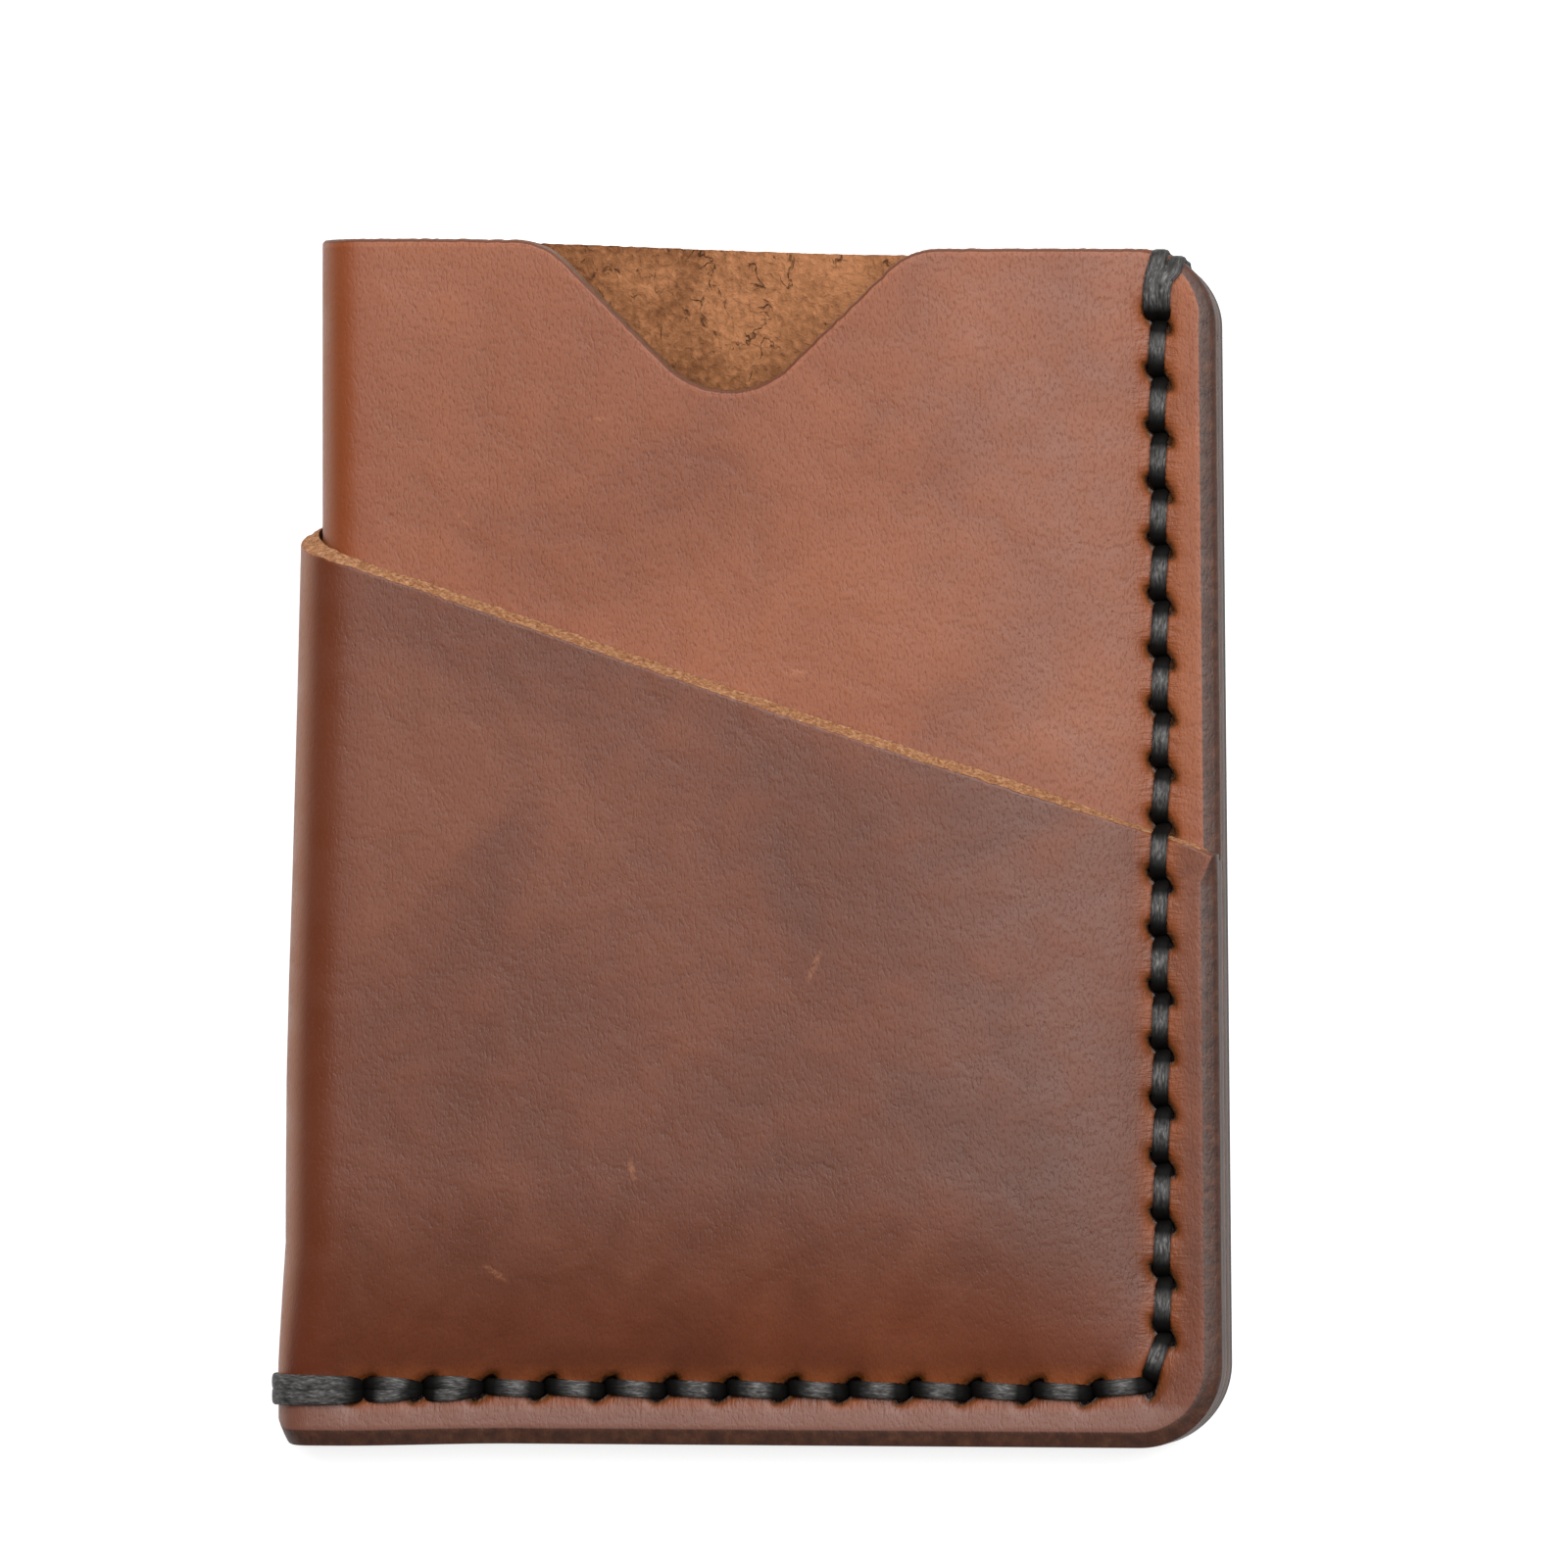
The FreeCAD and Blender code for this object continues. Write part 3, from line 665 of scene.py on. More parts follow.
# Half a stitch, from hole to middle: share of its length, height over the leather, width, thickness.
HALF_STITCH = [
    (0.05, -1.45, 1.15, 0.72),
    (0.08, -0.80, 1.32, 0.70),
    (0.13, -0.36, 1.42, 0.68),
    (0.21, -0.14, 1.44, 0.65),
    (0.35, -0.05, 1.42, 0.62),
    (0.50, -0.02, 1.40, 0.60),
]
STITCH = HALF_STITCH + [(round(1 - share, 2), *rest) for share, *rest in HALF_STITCH[-2::-1]]
random = np.random.default_rng(7)


def face_level(hole, front):
    """Level of the leather's face at a hole, in front or behind."""
    if not front:
        return WRAP_SEAM[0]
    D, y = HOLES[hole]
    return WRAP_SEAM[1] if y < MOUTH_LOW + MOUTH_SLOPE * D else SLEEVE_SEAM[1]


def across_seam(start, end):
    """Unit vector across the seam between two holes, towards the holder's outside."""
    first, last = HOLES[min(start, end)], HOLES[max(start, end)]
    along = (last - first) / np.linalg.norm(last - first)
    return np.array([along[1], -along[0]])


def stitch(start, end, front, lane=0.0, narrow=1.0):
    """Rows D, y, z, across, width, thickness and crest sheen of one stitch between neighbouring holes. The
    crest sheen is the share of painted grey sheen: 1 on the crest, 0 towards the holes, where the thread
    is painted black as shade.
    """
    across = across_seam(start, end)
    first, last = face_level(start, front), face_level(end, front)
    sign = 1 if front else -1
    slant = 0.13 + 0.09 * random.random()
    crown = random.random() - 0.5
    rows = []
    for share, height, width, thickness in STITCH:
        level = first + (last - first) * float(smooth(share, 0.0, 0.2))
        side = lane * math.sin(math.pi * share) ** 0.5 + slant * (1 - 2 * share)
        place = HOLES[start] + (HOLES[end] - HOLES[start]) * share + across * side
        z = level + sign * (height + 0.04 * crown)
        # painted sheen on the crest of the stitch; towards the holes the thread is painted black as shade
        crest_sheen = 1 - float(smooth(abs(share - 0.47), 0.08, 0.24))
        rows.append([*place, z, *across, width * narrow, thickness, crest_sheen])
    return rows


def over_the_top(D_hole, D_edge, front_first):
    """Rows of the strand that goes from the topmost hole over the top edge and back behind."""
    y = HOLES[0][1]
    inset = max(CORNER_HIGH - D_edge, 0)
    top = TALL - CORNER_HIGH + math.sqrt(CORNER_HIGH**2 - inset**2)
    front, back = SLEEVE_SEAM[1], WRAP_SEAM[0]
    route = [
        (y + 0.05, front - 1.5, 0.0, 1.10),
        (y + 0.25, front - 0.8, 0.0, 1.20),
        (y + 0.75, front - 0.22, 0.0, 1.30),
        (y + 1.5, front + 0.08, 0.0, 1.32),
        (y + 2.4, front + 0.18, 0.06, 1.32),
        (y + 3.5, front + 0.22, 0.28, 1.36),
        (top - 1.1, front + 0.16, 0.72, 1.45),
        (top - 0.45, front - 0.02, 0.94, 1.52),
        (top - 0.08, front - 0.5, 1.0, 1.50),
        (top + 0.04, front - 1.5, 1.0, 1.45),
        (top + 0.02, back + 1.3, 1.0, 1.45),
        (top - 0.25, back + 0.45, 0.95, 1.45),
        (top - 0.9, back - 0.05, 0.75, 1.40),
        (y + 3.3, back - 0.20, 0.35, 1.34),
        (y + 2.2, back - 0.18, 0.08, 1.32),
        (y + 1.4, back - 0.08, 0.0, 1.30),
        (y + 0.7, back + 0.22, 0.0, 1.30),
        (y + 0.25, back + 0.8, 0.0, 1.20),
        (y + 0.05, back + 1.5, 0.0, 1.10),
    ]
    rows = []
    for height, z, share, wide in route:
        # painted sheen on the crest of the strand, less of it over the top edge
        crest_sheen = float(smooth(height, y + 0.9, y + 2.1)) * (1 - 0.5 * float(smooth(height, y + 3.9, top)))
        rows.append([D_hole + (D_edge - D_hole) * share, height, z, -1.0, 0.0, wide, 0.60, crest_sheen])
    return rows if front_first else rows[::-1]


def round_the_fold(lane, front_first):
    """Rows of the strand that goes from the last hole round the fold and back behind."""
    D_hole, y = HOLES[LAST]
    front, back = WRAP_SEAM[1], WRAP_SEAM[0]
    middle, radius = (front + back) / 2, (front - back) / 2 + 0.27
    turn = WRAP.widths[0] - (front - back) / 2
    proud = 0.05 * math.copysign(1, lane)
    start = [(D_hole + 0.1, front - 1.5), (D_hole + 0.3, front - 0.8), (D_hole + 0.75, front - 0.2)]
    start += [(D_hole + 1.5, front + 0.10), (D_hole + 2.6, front + 0.25), (D_hole + 3.6, front + 0.27)]
    arc = [
        (turn + radius * math.sin(angle), middle + (radius + proud) * math.cos(angle))
        for angle in np.radians([0, 30, 60, 90, 120, 150, 180])
    ]
    end = [(D, front + back - z) for D, z in start[::-1]]
    rows = []
    route = start + arc + end
    for index, (D, z) in enumerate(route):
        share = math.sin(math.pi * index / (len(route) - 1)) ** 0.4
        # painted sheen away from the hole, none near it
        crest_sheen = 0.8 * float(smooth(D, D_hole + 0.8, D_hole + 2.2))
        side = y + lane * (0.4 + 0.6 * share)
        rows.append([D, side, z, 0.0, -1.0, 1.05 + 0.38 * share, 0.60, crest_sheen])
    return rows if front_first else rows[::-1]


def needle(front_first, lane):
    """Rows of one needle's half of the thread, from inside the topmost hole to the lock stitches."""
    rows = over_the_top(5.42, 4.65, True) if front_first else over_the_top(4.36, 3.25, False)
    front = front_first
    for hole in range(LAST):
        doubled = hole >= LAST - 2
        rows = rows + stitch(hole, hole + 1, front, -0.5 if doubled else 0.0, 0.8 if doubled else 1)
        front = not front
    rows = rows + round_the_fold(lane, front)
    rows = rows + stitch(LAST, LAST - 1, front, 0.5, 0.8)
    return rows + stitch(LAST - 1, LAST - 2, not front, 0.5, 0.8)


def catmull(rows, step):
    """Rows along a smooth curve through the given ones, at even steps of the curve's length."""
    rows = np.array(rows, float)
    padded = np.vstack([2 * rows[0] - rows[1], rows, 2 * rows[-1] - rows[-2]])
    dense = []
    for a, b, c, d in zip(padded, padded[1:], padded[2:], padded[3:]):
        for u in np.linspace(0, 1, 12, endpoint=False):
            dense.append(
                0.5
                * (2 * b + (c - a) * u + (2 * a - 5 * b + 4 * c - d) * u**2
                   + (3 * b - a - 3 * c + d) * u**3)
            )
    dense = np.array(dense + [rows[-1]])
    length = np.concatenate([[0], np.cumsum(np.linalg.norm(np.diff(dense[:, :3], axis=0), axis=1))])
    at = np.linspace(0, length[-1], round(length[-1] / step))
    return np.column_stack([np.interp(at, length, dense[:, k]) for k in range(rows.shape[1])]), at


def make_thread():
    """The braided thread, flattened on the leather, as one closed tube."""
    first = needle(True, LANE)
    second = needle(False, -LANE)
    rows, at = catmull(second[::-1] + first, THREAD_STEP)
    centre, across = rows[:, :3], np.column_stack([rows[:, 3:5], np.zeros(len(rows))])
    tangent = np.gradient(centre, axis=0)
    tangent /= np.linalg.norm(tangent, axis=1)[:, None]
    across -= tangent * np.sum(across * tangent, axis=1)[:, None]
    across /= np.linalg.norm(across, axis=1)[:, None]
    up = np.cross(tangent, across)
    angle = np.linspace(0, 2 * math.pi, ROUND, endpoint=False)
    cosine, sine = np.cos(angle), np.sin(angle)
    wide = np.sign(cosine) * np.abs(cosine) ** 0.7
    high = np.sign(sine) * np.abs(sine) ** 0.8
    plait = np.cos(2 * math.pi * (at[:, None] / 0.62 - 0.75 * np.abs(cosine)[None, :]))
    swollen = 1 + 0.035 * plait
    points = (
        centre[:, None, :]
        + across[:, None, :] * (rows[:, 5] / 2)[:, None, None] * (wide * swollen)[:, :, None]
        + up[:, None, :] * (rows[:, 6] / 2)[:, None, None] * (high * swollen)[:, :, None]
    )
    count = len(rows)
    points = points.reshape(-1, 3)
    ring = np.arange(count - 1)[:, None] * ROUND + np.arange(ROUND)[None, :]
    right = np.arange(count - 1)[:, None] * ROUND + np.roll(np.arange(ROUND), -1)[None, :]
    quads = np.stack([ring, right, right + ROUND, ring + ROUND], axis=-1).reshape(-1, 4)
    faces = quads.tolist()
    faces.append(list(range(ROUND))[::-1])
    faces.append([(count - 1) * ROUND + k for k in range(ROUND)])
    mesh = bpy.data.meshes.new("thread_braid")
    mesh.from_pydata(into_frame(*points.T).tolist(), [], faces)
    flat = np.column_stack([np.repeat(at, ROUND), np.tile(angle, count) * 0.5, np.zeros(count * ROUND)])
    add_vector(mesh, "flat", flat)
    # share of painted sheen in the thread's colour
    add_float(mesh, "crest_sheen", np.repeat(rows[:, 7], ROUND))
    mesh.shade_smooth()
    obj = bpy.data.objects.new("thread_braid", mesh)
    link(obj)
    return obj


# ---------------------------------------------------------------- materials


class Recipe:
    """A material under construction: short calls that add nodes and return their outputs."""

    def __init__(self, name):
        self.material = bpy.data.materials.new(name)
        self.material.use_nodes = True
        self.tree = self.material.node_tree
        self.shader = self.tree.nodes["Principled BSDF"]

    def put(self, node, socket, value):
        if isinstance(value, bpy.types.NodeSocket):
            self.tree.links.new(value, node.inputs[socket])
        elif value is not None:
            node.inputs[socket].default_value = value

    def add(self, kind, **inputs):
        """A new node, its inputs linked to sockets or set to values."""
        node = self.tree.nodes.new("ShaderNode" + kind)
        for socket, value in inputs.items():
            self.put(node, socket.replace("_", " "), value)
        return node

    def attribute(self, name, output="Fac"):
        node = self.add("Attribute")
        node.attribute_name = name
        return node.outputs[output]

    def scaled(self, vector, x, y, z=1.0, turn=0.0, shift=(0, 0, 0)):
        rotation = (0, 0, turn)
        node = self.add("Mapping", Vector=vector, Scale=(x, y, z), Rotation=rotation, Location=shift)
        return node.outputs["Vector"]

    def noise(self, vector, scale, detail=2.0, roughness=0.5, distortion=0.0):
        node = self.add("TexNoise", Vector=vector, Scale=scale, Detail=detail)
        self.put(node, "Roughness", roughness)
        self.put(node, "Distortion", distortion)
        return node.outputs["Fac"]

    def cells(self, vector, scale):
        return self.add("TexVoronoi", Vector=vector, Scale=scale).outputs["Distance"]

    def along(self, vector, axis):
        return self.add("SeparateXYZ", Vector=vector).outputs[axis]

    def math(self, operation, first, second=None):
        node = self.add("Math")
        node.operation = operation
        self.put(node, 0, first)
        self.put(node, 1, second)
        return node.outputs[0]

    def times(self, first, second):
        return self.math("MULTIPLY", first, second)

    def plus(self, first, second):
        return self.math("ADD", first, second)

    def fade(self, value, start, end, low=0.0, high=1.0):
        """low where value is start, high where it is end, smooth between and clamped beyond."""
        node = self.add("MapRange", From_Min=start, From_Max=end, To_Min=low, To_Max=high)
        node.interpolation_type = "SMOOTHSTEP"
        self.put(node, "Value", value)
        return node.outputs["Result"]

    def ramp(self, factor, *stops):
        node = self.add("ValToRGB", Fac=factor)
        elements = node.color_ramp.elements
        while len(elements) < len(stops):
            elements.new(0.5)
        for element, (place, colour) in zip(elements, stops):
            element.position = place
            element.color = (*colour, 1)
        return node.outputs["Color"]

    def mix(self, factor, first, second, blend="MIX"):
        node = self.add("Mix")
        node.data_type = "RGBA"
        node.blend_type = blend
        self.put(node, 0, factor)
        for socket, colour in ((6, first), (7, second)):
            self.put(node, socket, colour if isinstance(colour, bpy.types.NodeSocket) else (*colour, 1))
        return node.outputs[2]

    def bump(self, height, depth_mm, normal=None):
        node = self.add("Bump", Distance=depth_mm * MM, Height=height, Normal=normal)
        return node.outputs["Normal"]

    def finish(self, colour, roughness, normal, **values):
        self.put(self.shader, "Base Color", colour)
        self.put(self.shader, "Roughness", roughness)
        self.put(self.shader, "Normal", normal)
        for socket, value in values.items():
            self.put(self.shader, socket.replace("_", " "), value)
        return self.material


def grain_material(name, piece, tones, grain, drift):
    """Waxed full-grain leather: hair-cell grain, clouds of wax, burnished bevels and stitch slits, with
    painted shade, sheen and highlight on the fold, by the seams and round the slits.
    """
    r = Recipe(name)
    plain = r.attribute("flat", "Vector")
    flat = r.scaled(plain, 1, 1, shift=drift)
    clouds = r.noise(flat, 0.045, 3, 0.55, 0.6)
    patches = r.noise(flat, 0.22, 4, 0.6, 0.3)
    cells = r.noise(r.scaled(flat, 4.6, 2.0, turn=0.05), 1.0, 1.0, 0.5)
    dashes = r.fade(cells, 0.46, 0.72)
    pores = r.fade(r.cells(r.scaled(flat, 1.7, 1.05), 1.0), 0.17, 0.07)
    fine = r.noise(r.scaled(flat, 8.0, 3.2), 1.0, 2.0, 0.6)
    s_axis = r.along(plain, 0)
    t_axis = r.along(plain, 1)
    tone = r.plus(r.times(clouds, 0.72), r.times(patches, 0.28))
    tone = r.plus(tone, r.fade(s_axis, 10, 75, -0.03, 0.05))
    tone = r.plus(tone, r.fade(t_axis, 10, 75, -0.03, 0.03))
    dark, middle, light = tones
    colour = r.ramp(tone, (0.33, dark), (0.50, middle), (0.66, light))
    colour = r.mix(r.times(dashes, grain), colour, (0.52, 0.44, 0.42), "MULTIPLY")
    colour = r.mix(r.times(pores, grain * 0.8), colour, (0.40, 0.30, 0.28), "MULTIPLY")
    colour = r.mix(r.fade(fine, 0.36, 0.68, 0.0, 0.6), colour, (1.28, 1.26, 1.24), "MULTIPLY")
    mask = scuff_mask(r, plain, piece)
    colour = r.mix(r.times(mask, 0.30), colour, (0.62, 0.26, 0.12))
    seam, slit, edge = r.attribute("seam"), r.attribute("slit"), r.attribute("edge")
    middle_s = piece.total / 2
    bent = r.math("ABSOLUTE", r.math("SUBTRACT", s_axis, middle_s))
    # The fold is painted more saturated and darker: partly the pull-up colour of bent leather, partly
    # painted shade where the fold turns away from the light.
    fold_pullup_and_shade = r.fade(bent, piece.arc / 2 + 3.0, piece.arc / 2 - 1.5)
    pullup_and_shade_colour = tuple(share * c for share, c in zip((1.0, 0.74, 0.40), middle))
    colour = r.mix(r.times(fold_pullup_and_shade, 0.8), colour, pullup_and_shade_colour)
    # Painted shade: the rise above the bottom seam darker and more saturated, as where it tilts away from
    # the light.
    bottom_ramp_shade = r.times(r.fade(t_axis, 17, 9), r.fade(seam, 0.5, 2.0, 0.2, 0.8))
    colour = r.mix(bottom_ramp_shade, colour, (1.0, 0.84, 0.64), "MULTIPLY")
    # Painted highlight: a pale tan band along the outermost part of the fold.
    fold_rim_highlight = r.fade(bent, piece.arc / 4 + 1.2, piece.arc / 4 - 1.2)
    colour = r.mix(r.times(fold_rim_highlight, 0.9), colour, (0.40, 0.135, 0.050))
    # Painted shade: more saturated orange on the slopes beside the seam, as where they tilt out of the
    # light's sheen.
    seam_slope_shade = r.times(r.fade(seam, 2.6, 0.6), r.fade(patches, 0.35, 0.6, 0.35, 0.75))
    colour = r.mix(seam_slope_shade, colour, (0.31, 0.078, 0.018))
    # Painted sheen: the strip between the seam and the edge lighter and greyer.
    strip_sheen = r.fade(edge, 2.9, 2.3)
    colour = r.mix(r.times(strip_sheen, r.fade(seam, 0.7, 1.9)), colour, (1.16, 1.22, 1.34), "MULTIPLY")
    # Painted sheen: the strip under the bottom seam given a lighter, greyer colour.
    low = r.times(r.fade(t_axis, 4.0, 3.0), r.fade(seam, 0.9, 2.0, 0.0, 0.75))
    colour = r.mix(low, colour, (0.215, 0.090, 0.062))
    # Round each slit: an orange ring where the leather is opened by the iron, then, nearest the slit, near
    # black painted as shade in the hole.
    uneven = r.plus(slit, r.times(r.noise(flat, 2.8, 2, 0.6), 0.55))
    colour = r.mix(r.fade(uneven, 0.86, 0.56), colour, (0.150, 0.040, 0.005))
    colour = r.mix(r.fade(uneven, 0.52, 0.34), colour, (0.030, 0.009, 0.003))
    rubbed = r.ramp(
        r.noise(r.scaled(flat, 0.9, 0.9), 1.0, 3, 0.65),
        (0.30, (0.040, 0.014, 0.008)),
        (0.52, (0.072, 0.025, 0.013)),
        (0.74, (0.120, 0.045, 0.022)),
    )
    rubbed = r.mix(r.fade(r.attribute("raw"), 0.12, 0.34), rubbed, (0.165, 0.042, 0.013))
    colour = r.mix(r.fade(edge, 1.08, 0.95), colour, rubbed)
    height = r.plus(r.times(dashes, -0.6), r.times(pores, -0.5))
    height = r.plus(height, r.times(fine, 0.25))
    normal = r.bump(height, 0.022)
    upright = r.noise(r.scaled(flat, 2.6, 0.55), 1.0, 2, 0.6, 0.4)
    level = r.noise(r.scaled(flat, 0.75, 2.6, turn=0.5), 1.0, 2, 0.6, 0.4)
    pleats = r.mix(r.fade(t_axis, 7.5, 9.5), upright, level)
    normal = r.bump(r.times(pleats, r.fade(seam, 2.9, 0.7)), 0.11, normal)
    normal = r.bump(patches, 0.12, normal)
    roughness = r.plus(r.fade(patches, 0.3, 0.7, 0.40, 0.50), r.fade(dashes, 0, 1, 0.0, 0.08))
    return r.finish(colour, roughness, normal, Specular_IOR_Level=0.58)


def scuff_mask(r, flat, piece):
    """Faint pale scratches and rubs, scattered at random over a whole sheet of leather."""
    mask = 0.0
    broken = r.fade(r.noise(flat, 2.4, 3, 0.7), 0.38, 0.6)
    for _ in range(SCUFFS):
        s = scatter.uniform(SCUFF_MARGIN, piece.total - SCUFF_MARGIN)
        t = scatter.uniform(SCUFF_MARGIN, TALL - SCUFF_MARGIN)
        angle = scatter.uniform(0, math.pi)
        length, width = scatter.uniform(*SCUFF_LENGTH), scatter.uniform(*SCUFF_WIDTH)
        node = r.add("Mapping", Vector=flat, Rotation=(0, 0, angle))
        node.vector_type = "TEXTURE"
        r.put(node, "Location", (s, t, 0))
        r.put(node, "Scale", (length, width * 1.7, 1))
        away = r.add("VectorMath")
        away.operation = "LENGTH"
        r.put(away, 0, node.outputs["Vector"])
        streak = r.fade(away.outputs["Value"], 1.0, 0.2)
        mask = r.math("MAXIMUM", r.times(streak, broken), mask)
    return mask


SCUFFS = 12  # on each sheet
SCUFF_MARGIN = 8  # from the edges of the sheet
SCUFF_LENGTH = (1.1, 2.4)  # least and most half length
SCUFF_WIDTH = (0.14, 0.30)  # least and most half width
scatter = np.random.default_rng(21)  # for the scuffs alone


def flesh_material():
    """Rough flesh side: loose tan fibres with small tears and dark cracks, and a painted shadow where the
    front panel shades it through the notch.
    """
    r = Recipe("flesh_side")
    flat = r.attribute("flat", "Vector")
    clouds = r.noise(flat, 0.14, 3, 0.6, 0.4)
    nap = r.noise(flat, 1.3, 4, 0.62, 0.4)
    tufts = r.cells(r.scaled(flat, 1.9, 1.4), 1.0)
    torn = r.noise(r.scaled(flat, 0.24, 0.15, turn=0.5), 1.0, 3, 0.6, 1.0)
    cracks = r.fade(r.math("ABSOLUTE", r.math("SUBTRACT", torn, 0.5)), 0.020, 0.0)
    cracks = r.times(cracks, r.fade(r.noise(flat, 0.4, 3, 0.6), 0.50, 0.62))
    # Painted shadow: the flesh seen through the notch darker towards the fold side and lower down, where
    # the front panel shades it.
    side = r.fade(r.along(flat, 0), 100, 122, -0.05, 0.12)
    side = r.plus(side, r.fade(r.along(flat, 1), 87, 97, -0.08, 0.03))
    tone = r.plus(r.times(clouds, 0.5), r.times(nap, 0.5))
    tone = r.plus(tone, side)
    colour = r.ramp(
        tone,
        (0.34, (0.125, 0.044, 0.016)),
        (0.50, (0.300, 0.122, 0.050)),
        (0.68, (0.520, 0.225, 0.100)),
    )
    colour = r.mix(r.fade(tufts, 0.1, 0.5, 0.35, 0.0), colour, (1.35, 1.3, 1.25), "MULTIPLY")
    colour = r.mix(r.times(cracks, 0.65), colour, (0.090, 0.030, 0.011))
    height = r.math("SUBTRACT", r.plus(nap, r.times(tufts, 0.4)), cracks)
    normal = r.bump(height, 0.35)
    normal = r.bump(r.noise(flat, 5.0, 3, 0.7), 0.12, normal)
    return r.finish(colour, 0.92, normal, Specular_IOR_Level=0.2)


def edge_material():
    """Cut edges: burnished dark and smooth where finished, pale and frayed where raw, with painted shade
    in the stitch slits and next to the floor.
    """
    r = Recipe("cut_edge")
    place = r.add("NewGeometry").outputs["Position"]
    raw = r.attribute("raw")
    fibres = r.noise(r.scaled(place, 2600, 2600, 2600), 1.0, 4, 0.7, 0.5)
    pale = r.ramp(
        fibres,
        (0.28, (0.20, 0.070, 0.026)),
        (0.48, (0.42, 0.190, 0.085)),
        (0.68, (0.66, 0.370, 0.200)),
    )
    streaks = r.noise(r.scaled(place, 300, 300, 2600), 1.0, 3, 0.6)
    dark = r.ramp(
        streaks,
        (0.30, (0.034, 0.017, 0.012)),
        (0.55, (0.068, 0.037, 0.027)),
        (0.75, (0.115, 0.070, 0.052)),
    )
    # Painted shade: the cut edges near black in their lowest couple of millimetres, next to the floor.
    floor_contact_shade = r.fade(r.along(place, 2), 0.0027, 0.0021)
    dark = r.mix(floor_contact_shade, dark, (0.020, 0.013, 0.011))
    # Painted shade: the walls of the stitch slits near black.
    slit_wall_shade = r.fade(r.attribute("slit"), 0.3, 0.1)
    colour = r.mix(r.fade(raw, 0.15, 0.7), dark, pale)
    colour = r.mix(slit_wall_shade, colour, (0.020, 0.008, 0.004))
    height = r.times(fibres, r.fade(raw, 0.1, 0.8, 0.12, 1.0))
    normal = r.bump(height, 0.22)
    roughness = r.fade(raw, 0.1, 0.8, 0.48, 0.9)
    return r.finish(colour, roughness, normal, Specular_IOR_Level=0.25)


def thread_material():
    """Black waxed braid: fine crossing strands, with a grey sheen painted on the crests and black painted
    as shade towards the holes.
    """
    r = Recipe("waxed_braid")
    flat = r.attribute("flat", "Vector")
    one = r.noise(r.scaled(flat, 1.1, 7.0, turn=0.35), 1.0, 2, 0.6, 0.3)
    other = r.noise(r.scaled(flat, 1.1, 7.0, turn=-0.35, shift=(3, 5, 7)), 1.0, 2, 0.6, 0.3)
    strands = r.math("MAXIMUM", one, other)
    waves = r.noise(r.scaled(flat, 0.8, 1.2), 1.0, 2, 0.5)
    # the greys of the strands are a painted sheen on black thread
    colour = r.ramp(
        strands,
        (0.42, (0.040, 0.038, 0.036)),
        (0.58, (0.115, 0.112, 0.110)),
        (0.74, (0.270, 0.262, 0.255)),
    )
    crest_sheen = r.times(r.attribute("crest_sheen"), r.fade(waves, 0.30, 0.60, 0.75, 1.0))
    # painted sheen on the crests, near-black painted shade towards the holes
    colour = r.mix(crest_sheen, (0.0022, 0.0018, 0.0015), colour)
    normal = r.bump(strands, 0.09)
    roughness = r.fade(crest_sheen, 0.0, 1.0, 0.68, 0.42)
    return r.finish(colour, roughness, normal, Specular_IOR_Level=0.16)


# ---------------------------------------------------------------- stage, light and camera


def make_floor():
    """Plain white table top, far wider than the view. It glows more for the camera than for the holder."""
    mesh = bpy.data.meshes.new("floor")
    half = 3.0
    corners = [(-half, -half, 0), (half, -half, 0), (half, half, 0), (-half, half, 0)]
    mesh.from_pydata(corners, [], [(0, 1, 2, 3)])
    r = Recipe("white_table")
    material = r.finish((0.72, 0.72, 0.72, 1), 0.7, None, Specular_IOR_Level=0.2)
    r.put(r.shader, "Emission Color", (1, 1, 1, 1))
    r.put(r.shader, "Emission Strength", seen_directly(r.tree, 0.45, 0.75))
    mesh.materials.append(material)
    obj = bpy.data.objects.new("floor", mesh)
    link(obj)


def seen_directly(tree, lit, seen):
    """Strength that is lit for the light on the holder and seen for what shows in the picture."""
    path = tree.nodes.new("ShaderNodeLightPath")
    choose = tree.nodes.new("ShaderNodeMapRange")
    tree.links.new(path.outputs["Is Camera Ray"], choose.inputs["Value"])
    choose.inputs["To Min"].default_value = lit
    choose.inputs["To Max"].default_value = seen
    return choose.outputs["Result"]


def make_lamp(name, place, size, power):
    """Softbox that faces the holder."""
    lamp = bpy.data.lights.new(name, "AREA")
    lamp.shape = "RECTANGLE"
    lamp.size, lamp.size_y = size
    lamp.energy = power
    obj = bpy.data.objects.new(name, lamp)
    obj.location = place
    obj.rotation_euler = (-Vector(place)).to_track_quat("-Z", "Y").to_euler()
    link(obj)


def make_world(lit, seen):
    """Dim even light, with a white backdrop behind the table."""
    world = bpy.data.worlds.new("studio")
    bpy.context.scene.world = world
    world.use_nodes = True
    tree = world.node_tree
    background = tree.nodes["Background"]
    background.inputs["Color"].default_value = (1, 1, 1, 1)
    tree.links.new(seen_directly(tree, lit, seen), background.inputs["Strength"])


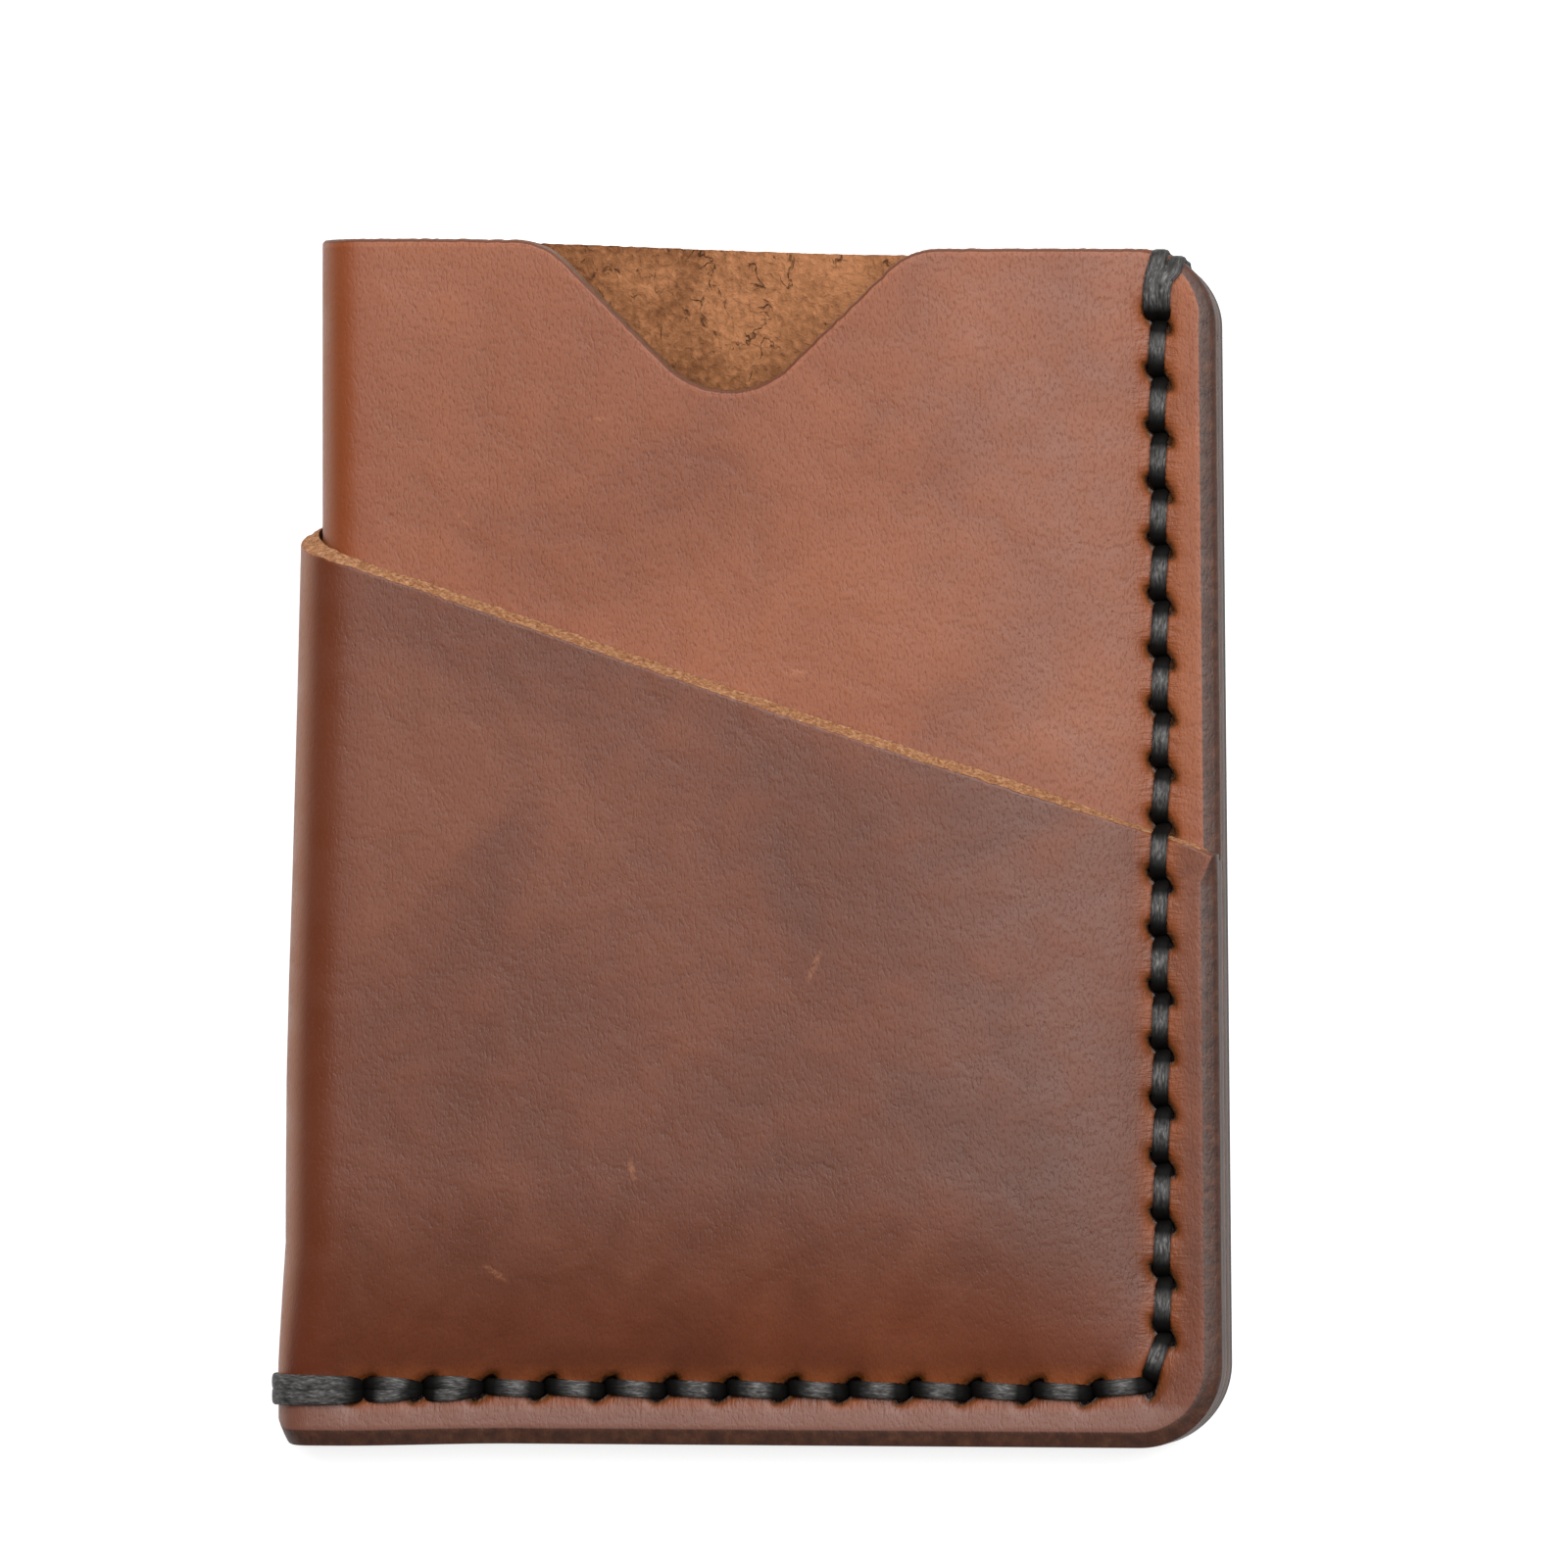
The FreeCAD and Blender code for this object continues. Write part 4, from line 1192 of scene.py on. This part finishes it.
def make_camera():
    """Long lens, tilted a little towards the stitched side, with the holder where it should be."""
    tilt = math.radians(9)
    distance = 1.2
    film = 36
    view_wide = 0.1322
    sideways, upwards = 0.0025, 0.0045
    towards = Vector((math.sin(tilt), 0, math.cos(tilt)))
    right = Vector((math.cos(tilt), 0, -math.sin(tilt)))
    data = bpy.data.cameras.new("camera")
    data.sensor_width = film
    data.lens = film * distance / view_wide
    data.clip_start, data.clip_end = 0.05, 20
    camera = bpy.data.objects.new("camera", data)
    camera.matrix_world = Matrix.Translation(
        right * sideways + Vector((0, upwards, 0)) + towards * distance
    ) @ Matrix((right, (0, 1, 0), towards)).transposed().to_4x4()
    link(camera)
    bpy.context.scene.camera = camera


# ---------------------------------------------------------------- the holder

def sleeve_fine(s, t):
    """The front of the seam that the wrap leaves free, and a margin."""
    return (s < SLEEVE_FINE[0]) & (t > SLEEVE_FINE[1])


def wrap_fine(s, t):
    """The whole seam."""
    return True


sleeve = Sheet(SLEEVE, sleeve_outline(), sleeve_fine, ruffle=0.0).build("sleeve_leather")
wrap = Sheet(WRAP, wrap_outline(), wrap_fine, ruffle=0.16).build("wrap_leather")
thread = make_thread()

flesh = flesh_material()
edges = edge_material()
sleeve_grain = grain_material(
    "sleeve_grain",
    SLEEVE,
    ((0.205, 0.053, 0.018), (0.262, 0.074, 0.026), (0.315, 0.094, 0.035)),
    0.34,
    (0, 0, 0),
)
wrap_grain = grain_material(
    "wrap_grain",
    WRAP,
    ((0.112, 0.030, 0.012), (0.152, 0.041, 0.016), (0.198, 0.057, 0.023)),
    0.24,
    (40, 70, 9),
)
for piece, grain in ((sleeve, sleeve_grain), (wrap, wrap_grain)):
    for material in (grain, flesh, edges):
        piece.data.materials.append(material)
thread.data.materials.append(thread_material())

for piece, node, slot in (
    (sleeve, "inner_sleeve", "sleeve_leather"),
    (wrap, "outer_wrap", "wrap_leather"),
    (thread, "saddle_thread", "waxed_thread"),
):
    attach(piece, "root")
    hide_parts(node)

make_floor()
make_lamp("key", (0.22, 0.36, 0.80), (1.1, 0.9), 12)
make_world(0.10, 1.0)
make_camera()
bpy.context.scene.view_settings.view_transform = "Standard"
